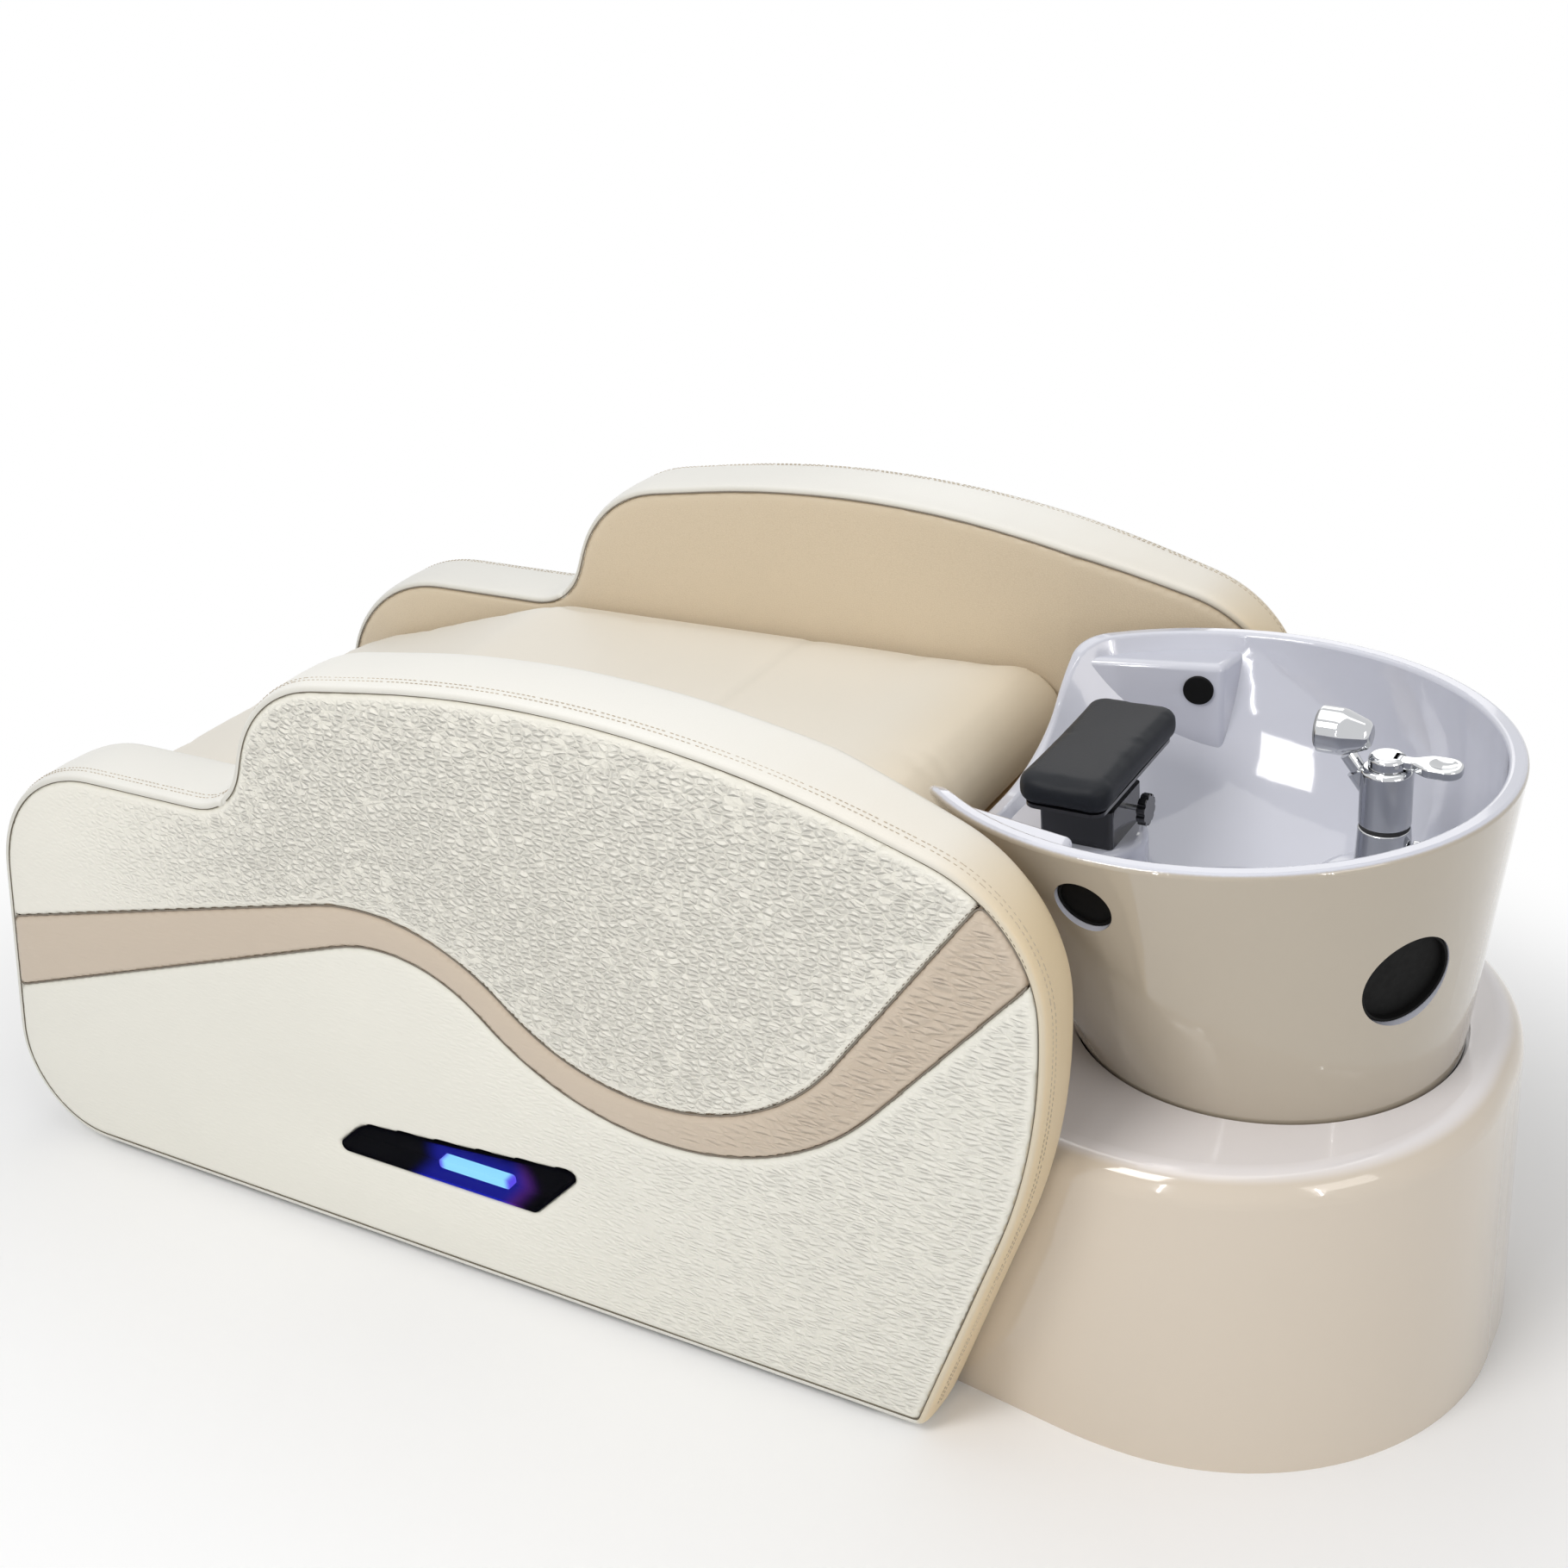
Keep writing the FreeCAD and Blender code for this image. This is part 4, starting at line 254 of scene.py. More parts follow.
def hard_finish(name, colour, worn, gloss, peel=0.0, metal=0.0, coat=0.0, specular=0.5):
    """Hard material between a clean and a worn colour, with a range of roughness and a peel."""
    material, tree, shader = new_material(name)
    use = add_node(tree, "ShaderNodeGroup", node_tree=handled_group)
    tint = add_node(tree, "ShaderNodeMix", data_type="RGBA", values={6: (*colour, 1), 7: (*worn, 1)})
    blur = add_node(tree, "ShaderNodeMath", operation="MULTIPLY")
    rough = add_node(tree, "ShaderNodeMapRange", values={"From Min": 0.12, "From Max": 0.38,
                                                         "To Min": gloss[0], "To Max": gloss[1]})
    bump = add_node(tree, "ShaderNodeBump", values={"Distance": peel})
    tree.links.new(use.outputs["Smudge"], tint.inputs["Factor"])
    tree.links.new(tint.outputs[2], shader.inputs["Base Color"])
    tree.links.new(use.outputs["Smudge"], blur.inputs[0])
    tree.links.new(use.outputs["Scuff"], blur.inputs[1])
    tree.links.new(blur.outputs[0], rough.inputs["Value"])
    tree.links.new(rough.outputs[0], shader.inputs["Roughness"])
    tree.links.new(use.outputs["Peel"], bump.inputs["Height"])
    tree.links.new(bump.outputs[0], shader.inputs["Normal"])
    shader.inputs["Metallic"].default_value = metal
    shader.inputs["Specular IOR Level"].default_value = specular
    shader.inputs["Coat Weight"].default_value = coat
    shader.inputs["Coat Roughness"].default_value = 0.04
    return material


black_rubber = hard_finish("black_rubber", (0.018, 0.018, 0.019), (0.035, 0.034, 0.033), (0.65, 0.9),
                           peel=0.0003)
black_plastic = hard_finish("black_plastic", (0.010, 0.010, 0.012), (0.02, 0.02, 0.022), (0.30, 0.5),
                            peel=0.0002)
zinc_steel = hard_finish("zinc_steel", (0.62, 0.63, 0.65), (0.50, 0.50, 0.49), (0.25, 0.5),
                         peel=0.00008, metal=1.0)
finish_nodes(black_rubber, "leveling_feet")
finish_nodes(black_plastic, "led_driver", "kick_strips")
finish_nodes(zinc_steel, "panel_bolts", "pedestal_bolts")

# Side panel faces. Thin foam under leather, sewn from an ivory pad above, a blush wave across and an ivory
# pad below, each drawn down into its seams. The inner face is one tan pad. The hides are embossed with a
# pebble grain that runs out towards the seams and towards the foot.


def leather_grain():
    """Node group with the grain of hides: pebbles between fine creases, pores, and a slow change of tone."""
    group = bpy.data.node_groups.new("leather_grain", "ShaderNodeTree")
    for name, usual in (("Pebbles", 150.0), ("Grain", 1.0), ("Pores", 0.05)):
        socket = group.interface.new_socket(name, in_out="INPUT", socket_type="NodeSocketFloat")
        socket.default_value = usual
    draw = group.interface.new_socket("Draw", in_out="INPUT", socket_type="NodeSocketVector")
    draw.default_value = (0.55, 1.0, 1.0)
    for name in ("Height", "Crease", "Tone"):
        group.interface.new_socket(name, in_out="OUTPUT", socket_type="NodeSocketFloat")
    start = add_node(group, "NodeGroupInput")
    end = add_node(group, "NodeGroupOutput")
    place = add_node(group, "ShaderNodeTexCoord")
    drawn = add_node(group, "ShaderNodeVectorMath", operation="MULTIPLY")
    drift = add_node(group, "ShaderNodeTexNoise", values={"Scale": 70.0, "Detail": 3.0})
    centred = add_node(group, "ShaderNodeVectorMath", operation="SUBTRACT", values={1: (0.5, 0.5, 0.5)})
    shift = add_node(group, "ShaderNodeVectorMath", operation="SCALE", values={"Scale": 0.0022})
    warped = add_node(group, "ShaderNodeVectorMath", operation="ADD")
    cells = add_node(group, "ShaderNodeTexVoronoi", feature="DISTANCE_TO_EDGE", values={"Randomness": 0.9})
    dome = add_node(group, "ShaderNodeMapRange", interpolation_type="SMOOTHSTEP",
                    values={"From Min": -0.06, "From Max": 0.42})
    edge = add_node(group, "ShaderNodeMapRange", values={"From Min": 0.13, "From Max": 0.0})
    pebble = add_node(group, "ShaderNodeMath", operation="MULTIPLY")
    crease = add_node(group, "ShaderNodeMath", operation="MULTIPLY")
    pores = add_node(group, "ShaderNodeTexNoise", values={"Scale": 850.0, "Detail": 2.0})
    pore_part = add_node(group, "ShaderNodeMath", operation="MULTIPLY")
    height = add_node(group, "ShaderNodeMath", operation="ADD")
    tone = add_node(group, "ShaderNodeTexNoise", values={"Scale": 3.5, "Detail": 3.0})
    link = group.links.new
    link(place.outputs["Object"], drawn.inputs[0])
    link(start.outputs["Draw"], drawn.inputs[1])
    link(place.outputs["Object"], drift.inputs["Vector"])
    link(drift.outputs["Color"], centred.inputs[0])
    link(centred.outputs[0], shift.inputs[0])
    link(drawn.outputs[0], warped.inputs[0])
    link(shift.outputs[0], warped.inputs[1])
    link(warped.outputs[0], cells.inputs["Vector"])
    link(start.outputs["Pebbles"], cells.inputs["Scale"])
    link(cells.outputs["Distance"], dome.inputs["Value"])
    link(cells.outputs["Distance"], edge.inputs["Value"])
    link(dome.outputs[0], pebble.inputs[0])
    link(start.outputs["Grain"], pebble.inputs[1])
    link(edge.outputs[0], crease.inputs[0])
    link(start.outputs["Grain"], crease.inputs[1])
    link(place.outputs["Object"], pores.inputs["Vector"])
    link(pores.outputs["Fac"], pore_part.inputs[0])
    link(start.outputs["Pores"], pore_part.inputs[1])
    link(pebble.outputs[0], height.inputs[0])
    link(pore_part.outputs[0], height.inputs[1])
    link(place.outputs["Object"], tone.inputs["Vector"])
    link(height.outputs[0], end.inputs["Height"])
    link(crease.outputs[0], end.inputs["Crease"])
    link(tone.outputs["Fac"], end.inputs["Tone"])
    return group


grain_group = leather_grain()


def leather(name, colour, pebbles, draw, depth, gloss, warm=None, specular=0.4):
    """Leather of one colour, with its grain, painted shade in the creases of its grain and along the seams
    marked on the mesh, and warmer stretches marked on the mesh.
    """
    material, tree, shader = new_material(name)
    link = tree.links.new
    amount = add_node(tree, "ShaderNodeAttribute", attribute_name="grain")
    seam = add_node(tree, "ShaderNodeAttribute", attribute_name="seam")
    grain = add_node(tree, "ShaderNodeGroup", node_tree=grain_group,
                     values={"Pebbles": pebbles, "Draw": (draw, 1, 1)})
    dull = [0.92 * part for part in colour]
    painted_shade_colour = [part * part * 0.8 for part in colour]
    worn = add_node(tree, "ShaderNodeMix", data_type="RGBA", values={6: (*colour, 1), 7: (*dull, 1)})
    # Painted shade: the creases of the grain are drawn a little towards a darker colour, and the marked seams
    # further.
    faint = add_node(tree, "ShaderNodeMath", operation="MULTIPLY", values={1: 0.16})
    crease_painted_shade = add_node(tree, "ShaderNodeMix", data_type="RGBA", values={7: (*painted_shade_colour, 1)})
    sewn = add_node(tree, "ShaderNodeMix", data_type="RGBA", values={7: (*painted_shade_colour, 1)})
    rough = add_node(tree, "ShaderNodeMapRange", values={"To Min": gloss[0], "To Max": gloss[1]})
    bump = add_node(tree, "ShaderNodeBump", values={"Distance": depth})
    link(amount.outputs["Fac"], grain.inputs["Grain"])
    link(grain.outputs["Tone"], worn.inputs["Factor"])
    link(grain.outputs["Crease"], faint.inputs[0])
    link(faint.outputs[0], crease_painted_shade.inputs["Factor"])
    if warm:
        warmth = add_node(tree, "ShaderNodeAttribute", attribute_name="warm")
        warmed = add_node(tree, "ShaderNodeMix", data_type="RGBA", values={7: (*warm, 1)})
        link(warmth.outputs["Fac"], warmed.inputs["Factor"])
        link(worn.outputs[2], warmed.inputs[6])
        link(warmed.outputs[2], crease_painted_shade.inputs[6])
    else:
        link(worn.outputs[2], crease_painted_shade.inputs[6])
    link(crease_painted_shade.outputs[2], sewn.inputs[6])
    link(seam.outputs["Fac"], sewn.inputs["Factor"])
    link(sewn.outputs[2], shader.inputs["Base Color"])
    link(grain.outputs["Tone"], rough.inputs["Value"])
    link(rough.outputs[0], shader.inputs["Roughness"])
    link(grain.outputs["Height"], bump.inputs["Height"])
    link(bump.outputs[0], shader.inputs["Normal"])
    shader.inputs["Specular IOR Level"].default_value = specular
    return material


line_step = 0.003
same_place = 1e-5


def even_loop(points, step=line_step, passes=10):
    """Closed line resampled at even steps, with the facets of its arcs smoothed out."""
    even = []
    for start, end in zip(points, points[1:] + points[:1]):
        pieces = max(1, round((end - start).length / step))
        even += [start.lerp(end, piece / pieces) for piece in range(pieces)]
    for _ in range(passes):
        even = [(before + point * 2 + after) / 4
                for before, point, after in zip(even[-1:] + even[:-1], even, even[1:] + even[:1])]
    return even


def flat_outlines(node, level):
    """Closed outlines of a flat node's face at one Y, the longest first."""
    shape = bmesh.new()
    shape.from_mesh(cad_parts[node].data)
    bmesh.ops.remove_doubles(shape, verts=shape.verts, dist=same_place)
    beside = {}
    for edge in shape.edges:
        on_face = all(abs(vert.co.y - level) < same_place for vert in edge.verts)
        flat = [abs(face.normal.y) > 0.9 for face in edge.link_faces]
        if on_face and any(flat) and not all(flat):
            first, second = edge.verts
            beside.setdefault(first, []).append(second)
            beside.setdefault(second, []).append(first)
    loops = []
    left = dict.fromkeys(beside)
    while left:
        vert = next(iter(left))
        loop = []
        while vert:
            del left[vert]
            loop.append(vert.co.copy())
            vert = next((other for other in beside[vert] if other in left), None)
        loops.append(even_loop(loop))
    shape.free()
    return sorted(loops, key=len, reverse=True)


def remeshed(node, name, voxel):
    """An even skin over a node's solid, as a new object."""
    piece = bpy.data.objects.new(name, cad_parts[node].data.copy())
    scene.collection.objects.link(piece)
    even = piece.modifiers.new("even", "REMESH")
    even.mode = "VOXEL"
    even.voxel_size = voxel
    skin = bpy.data.meshes.new_from_object(piece.evaluated_get(bpy.context.evaluated_depsgraph_get()))
    piece.modifiers.clear()
    piece.data = skin
    skin.materials.clear()
    skin.polygons.foreach_set("use_smooth", [True] * len(skin.polygons))
    return piece


def mark(piece, name, values):
    """Keep a number for each point of a mesh, for its material."""
    piece.data.attributes.new(name, "FLOAT", "POINT").data.foreach_set("value", values)


def smooth(start, end, value):
    """A soft step from 0 at start to 1 at end."""
    share = min(max((value - start) / (end - start), 0.0), 1.0)
    return share * share * (3 - 2 * share)


def line_sides(line):
    """The way across a closed line at each of its points, square to the line and to Y."""
    sides = []
    for before, after in zip(line[-1:] + line[:-1], line[1:] + line[:1]):
        along = (after - before).normalized()
        sides.append(Vector((along.z, 0, -along.x)))
    return sides


def near_lines(lines):
    """Search tree of the points on some closed lines, seen square to the panel, and the way across each."""
    points = [point for line in lines for point in line]
    across = [side for line in lines for side in line_sides(line)]
    tree = kdtree.KDTree(len(points))
    for index, point in enumerate(points):
        tree.insert((point.x, 0, point.z), index)
    tree.balance()
    return tree, across


def dress(cover, finish, slot, body, fill, *nodes):
    """Finish a cover that stands for CAD nodes."""
    cover.data.materials.append(finish)
    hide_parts(*nodes)
    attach(cover, body)


pad_voxel = 0.005
pad_seam_share = 0.80
pad_swell_reach = 0.07
pad_trim = 0.0027
seam_shade = 0.5
pad_seam_width = 0.005
grain_from_seam = (0.002, 0.014)
grain_least = 0.08
slope_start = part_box("pedestal_shell")[0][0]
inner_low, inner_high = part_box("inner_pad_right")
inner_thick = 0.010
slope_pitch = (inner_high[1] - inner_low[1] - inner_thick) / (inner_high[0] - slope_start)


def inner_slope(x):
    """How far the inside of a side panel draws back beside the pedestal."""
    return max(x - slope_start, 0.0) * slope_pitch


def pad_rise(distance, roll, crown, thick):
    """How far a pad stands out from its board at a distance from its seam."""
    share = min(distance / roll, 1.0)
    rolled = pad_seam_share + (1 - pad_seam_share) * math.sqrt(1 - (1 - share) ** 2)
    return thick * rolled + crown * (1 - math.exp(-distance / pad_swell_reach))


def panel_pad(node, finish, slot, roll, crown, grained):
    """Upholstered cover in place of a flat pad; grained gives the X where the grain starts and is full."""
    low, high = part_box(node)
    sloped = "inner" in node
    outward = 1 if (low[1] > 0) != sloped else -1
    face, back = (high[1], low[1]) if outward > 0 else (low[1], high[1])
    if sloped:
        back = face - outward * inner_thick
        core = node.replace("inner_pad", "side_core")
        seams, across = near_lines(flat_outlines(core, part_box(core)[outward < 0][1])[:1])
    else:
        seams, across = near_lines(flat_outlines(node, face))
    thick = abs(face - back)
    cover = remeshed(node, f"{node}_cover", pad_voxel)
    seam_shade_marks = []
    grain_marks = []
    for vert in cover.data.vertices:
        near, index, distance = seams.find((vert.co.x, 0, vert.co.z))
        if distance < pad_trim:
            off = Vector((vert.co.x, 0, vert.co.z)) - near
            vert.co -= across[index] * off.dot(across[index])
            distance = 0.0
        shift = -outward * inner_slope(vert.co.x) if sloped else 0.0
        through = min(max((vert.co.y - shift - back) / (face - back), 0.0), 1.0)
        vert.co.y = back + shift + outward * through * pad_rise(distance, roll, crown, thick)
        # Painted shade: each pad is darkened towards its seams.
        seam_shade_marks.append(seam_shade * (1 - smooth(0.0, pad_seam_width, distance)))
        spread = grain_least + (1 - grain_least) * smooth(*grained, vert.co.x)
        grain_marks.append(smooth(*grain_from_seam, distance) * spread)
    mark(cover, "seam", seam_shade_marks)
    mark(cover, "grain", grain_marks)
    dress(cover, finish, slot, "bed", 0.9, node)


ivory_grained = leather("ivory_leather_grained", (0.89, 0.865, 0.775),
                        pebbles=160.0, draw=0.55, depth=0.0036, gloss=(0.38, 0.50))
ivory_fine = leather("ivory_leather_fine", (0.86, 0.84, 0.755),
                     pebbles=180.0, draw=0.34, depth=0.0022, gloss=(0.38, 0.50))
blush = leather("blush_leather", (0.63, 0.53, 0.42),
                pebbles=150.0, draw=0.30, depth=0.0024, gloss=(0.30, 0.42))
tan = leather("tan_leather", (0.74, 0.63, 0.47),
              pebbles=420.0, draw=0.8, depth=0.00012, gloss=(0.34, 0.46))
for side in ("left", "right"):
    panel_pad(f"upper_pad_{side}", ivory_grained, "ivory_leather",
              roll=0.008, crown=0.006, grained=(-0.76, -0.32))
    panel_pad(f"wave_band_{side}", blush, "blush_leather",
              roll=0.008, crown=0.005, grained=(0.02, 0.36))
    panel_pad(f"lower_pad_{side}", ivory_fine, "ivory_leather",
              roll=0.008, crown=0.005, grained=(-0.25, 0.40))
    panel_pad(f"inner_pad_{side}", tan, "tan_leather",
              roll=0.014, crown=0.003, grained=(-1.0, -0.9))

# Boxing bands. A strip of cream leather over foam wraps the edge of each side panel and is sewn to the faces,
# with two rows of stitches beside the outer seam and one cross seam in the corner of the step. Thin dark
# cords lie in the seams; their dark line is partly the seam's own colour and partly painted shade. A row of
# stitches follows the wave.
band_core_gap = 0.0084
band_width = 0.100
band_fold = 0.028
band_grain = 0.3
band_seam_width = (0.0003, 0.004)
corner_seam_width = (0.0005, 0.003)
corner_pinch_reach = (0.001, 0.010)
corner_pinch_depth = 0.003
ripple_along = 9
ripple_across = 20
ripple_height = 0.0006
warm_shade_turn = (0.05, 0.95)
warm_shade_from_basin = (0.0, 0.3)
band_profile = [(0.0070, -0.0100), (0.0022, -0.0088), (0.0004, -0.0062), (0.0012, -0.0034), (0.0040, -0.0010),
                (0.0090, 0.0006), (0.0160, 0.0018), (0.0280, 0.0028), (0.0500, 0.0034)]
band_profile += [(band_width - across, lift) for across, lift in reversed(band_profile[:-1])]


def ring_frames(line):
    """A closed line in a plane of equal Y, turned to run anticlockwise, and its outward directions."""
    area = sum(here.x * there.z - there.x * here.z for here, there in zip(line, line[1:] + line[:1]))
    if area < 0:
        line = line[::-1]
    return line, line_sides(line)


def step_corner(line, outward, reach=12):
    """Index of the point where a closed line turns inward most sharply."""
    turns = []
    for index in range(len(line)):
        before = outward[index - reach]
        after = outward[(index + reach) % len(line)]
        turns.append(before.x * after.z - before.z * after.x)
    return turns.index(min(turns))


def smooth_piece(name, points, faces):
    """A new object with a smooth skin."""
    skin = bpy.data.meshes.new(name)
    skin.from_pydata(points, [], faces)
    skin.polygons.foreach_set("use_smooth", [True] * len(faces))
    piece = bpy.data.objects.new(name, skin)
    scene.collection.objects.link(piece)
    return piece


def boxing_band(side, facing):
    """Leather strip swept round a panel's core."""
    core_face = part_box(f"side_core_{side}")[facing > 0][1]
    panel_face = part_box(f"boxing_band_{side}")[facing > 0][1]
    line, outward = ring_frames(flat_outlines(f"side_core_{side}", core_face)[0])
    corner = step_corner(line, outward)
    points = []
    seam_shade_marks = []
    warm_marks = []
    for index, (point, out) in enumerate(zip(line, outward)):
        apart = min(abs(index - corner), len(line) - abs(index - corner)) * line_step
        pinch = 1 - smooth(*corner_pinch_reach, apart)
        corner_seam_shade = 1 - smooth(*corner_seam_width, apart)
        narrow = 1 - inner_slope(point.x) / (band_width - band_fold)
        for across, lift in band_profile:
            spot = Vector((point.x * ripple_along, across * ripple_across, point.z * ripple_along))
            soft = noise.noise(spot) * ripple_height
            place = point + out * (band_core_gap + lift + soft - corner_pinch_depth * pinch)
            inward = min(across, band_fold) + max(across - band_fold, 0.0) * narrow
            points.append((place.x, panel_face - facing * inward, place.z))
            # Painted shade: the band is darkened along both its seams and across the cross seam in the
            # corner.
            edge = min(across, band_width - across)
            edge_seam_shade = seam_shade - seam_shade * smooth(*band_seam_width, edge)
            seam_shade_marks.append(max(edge_seam_shade, corner_seam_shade))
            # Painted shade: the band turns towards a darker tan where its skin faces the basin end.
            warm_marks.append(smooth(*warm_shade_turn, out.x) * smooth(*warm_shade_from_basin, point.x))
    count = len(band_profile)
    faces = []
    for index in range(len(line)):
        here = index * count
        there = (index + 1) % len(line) * count
        for step in range(count - 1):
            quad = (here + step, here + step + 1, there + step + 1, there + step)
            faces.append(quad if facing < 0 else quad[::-1])
    cover = smooth_piece(f"boxing_band_{side}_cover", points, faces)
    mark(cover, "seam", seam_shade_marks)
    mark(cover, "grain", [band_grain] * len(points))
    mark(cover, "warm", warm_marks)
    dress(cover, cream, "cream_leather", "bed", 0.9, f"boxing_band_{side}")
    return line, outward, panel_face


def sew_on(name, points, faces, finish):
    """A piece of thread or cord that stays with the bed."""
    piece = smooth_piece(name, points, faces)
    piece.data.materials.append(finish)
    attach(piece, "bed")


def stitch_row(name, path, ups, finish, pitch=0.0065, length=0.0042, thick=0.0005, lift=0.4):
    """Row of sewn stitches along an open line, each a short plump length of thread."""
    rings = [(-0.5, 0.35), (-0.25, 0.95), (0.25, 0.95), (0.5, 0.35)]
    sides = 5
    points = []
    faces = []
    travelled = 0.0
    for here, there, up in zip(path, path[1:], ups):
        travelled += (there - here).length
        if travelled < pitch:
            continue
        travelled -= pitch
        along = (there - here).normalized()
        beside = along.cross(up).normalized()
        first = len(points)
        for reach, share in rings:
            middle = here + along * reach * length + up * thick * lift
            for turn in range(sides):
                angle = math.tau * turn / sides
                points.append(middle + (beside * math.cos(angle) + up * math.sin(angle)) * thick * share)
        for ring in range(len(rings) - 1):
            for turn in range(sides):
                low = first + ring * sides
                faces.append((low + turn, low + (turn + 1) % sides,
                              low + sides + (turn + 1) % sides, low + sides + turn))
        last = first + (len(rings) - 1) * sides
        faces.append(tuple(first + turn for turn in reversed(range(sides))))
        faces.append(tuple(last + turn for turn in range(sides)))
    sew_on(name, points, faces, finish)


def seam_cord(name, path, ups, radius, finish, sides=6, closed_gap=0.01):
    """Thin cord laid in a seam along an open line, or along one whose ends nearly meet."""
    closed = (path[0] - path[-1]).length < closed_gap
    count = len(path)
    points = []
    for index, (point, up) in enumerate(zip(path, ups)):
        before = path[index - 1] if index or closed else point
        after = path[(index + 1) % count] if index < count - 1 or closed else point
        beside = (after - before).normalized().cross(up).normalized()
        for turn in range(sides):
            angle = math.tau * turn / sides
            points.append(point + (beside * math.cos(angle) + up * math.sin(angle)) * radius)
    faces = []
    for index in range(count if closed else count - 1):
        low = index * sides
        high = (index + 1) % count * sides
        for turn in range(sides):
            side = (turn + 1) % sides
            faces.append((low + turn, low + side, high + side, high + turn))
    sew_on(name, points, faces, finish)


# On the boxing bands the darker warm tan is painted shade on the sides that face the basin end.
cream = leather("cream_leather", (0.86, 0.845, 0.79),
                pebbles=380.0, draw=0.8, depth=0.00015, gloss=(0.36, 0.48), warm=(0.74, 0.60, 0.395))
tan_thread = hard_finish("tan_thread", (0.58, 0.50, 0.38), (0.46, 0.39, 0.30), (0.6, 0.8), peel=0.0002)
brown_thread = hard_finish("brown_thread", (0.22, 0.175, 0.13), (0.16, 0.125, 0.095), (0.6, 0.8), peel=0.0002)
# The cords are dark so that each seam shows a thin dark line: partly the seam's own colour, partly painted
# shade in its groove.
olive_cord = hard_finish("olive_cord", (0.15, 0.128, 0.090), (0.12, 0.102, 0.072), (0.5, 0.7), peel=0.0002)
grey_cord = hard_finish("grey_cord", (0.24, 0.205, 0.165), (0.20, 0.17, 0.135), (0.5, 0.7), peel=0.0002)
band_row_places = ((0.0120, 0.0012), (0.0175, 0.0020))
stitch_lowest = 0.035
middle_pull = 0.001
cord_lift = 0.0006
cord_radius = 0.0008
panel_cord_out = 0.0098
panel_cord_radius = 0.0011
inner_cord_in = 0.0875
wave_edge_facing = 0.3
wave_cord_sink = 0.0014
wave_stitch_sink = 0.0010
wave_stitch_aside = 0.0030
wave_stitch_start = -0.12
for side, facing in (("left", -1), ("right", 1)):
    line, outward, panel_face = boxing_band(side, facing)
    for number, (row_across, row_lift) in enumerate(band_row_places):
        path = [point + out * (band_core_gap + row_lift) for point, out in zip(line, outward)]
        path = [Vector((place.x, panel_face - facing * row_across, place.z)) for place in path]
        lowest = min(range(len(path)), key=lambda index: path[index].z + abs(path[index].x) * middle_pull)
        path = path[lowest:] + path[:lowest]
        ups = outward[lowest:] + outward[:lowest]
        raised = [index for index, place in enumerate(path) if place.z > stitch_lowest]
        stitch_row(f"band_stitches_{side}_{number + 1}", [path[index] for index in raised],
                   [ups[index] for index in raised], tan_thread)
    out_of_face = Vector((0, facing, 0))
    path = [point + out * cord_lift + out_of_face * panel_cord_out for point, out in zip(line, outward)]
    seam_cord(f"panel_seam_{side}", path, outward, panel_cord_radius, olive_cord)
    core_in = [point - out_of_face * (inner_cord_in - inner_slope(point.x)) for point in line]
    path = [point + out * cord_lift for point, out in zip(core_in, outward)]
    seam_cord(f"inner_seam_{side}", path, outward, cord_radius, grey_cord)
    wave, wave_out = ring_frames(flat_outlines(f"wave_band_{side}", panel_face)[0])
    for edge_name, way in (("upper", 1), ("lower", -1)):
        edge_line = [index for index in range(len(wave)) if wave_out[index].z * way > wave_edge_facing]
        edge_line.sort(key=lambda index: wave[index].x)
        path = [wave[index] - out_of_face * wave_cord_sink for index in edge_line]
        seam_cord(f"wave_seam_{edge_name}_{side}", path, [out_of_face] * len(path), cord_radius,
                  grey_cord)
        if way > 0:
            sewn = [index for index in edge_line if wave[index].x > wave_stitch_start]
            path = [wave[index] + wave_out[index] * wave_stitch_aside - out_of_face * wave_stitch_sink
                    for index in sewn]
            stitch_row(f"wave_stitches_{side}", path, [out_of_face] * len(path),
                       brown_thread)

# Side lights. A black tray let into each lower pad holds a bar of blue light under a smoked clear lens.
# The bar's blue and violet spill on the tray round it is painted there as a glow of the tray.
bar_low, bar_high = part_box("light_bar_left")
bar_middle = [(low + high) / 2 for low, high in zip(bar_low, bar_high)]
bar_half = (bar_high[0] - bar_low[0]) / 2


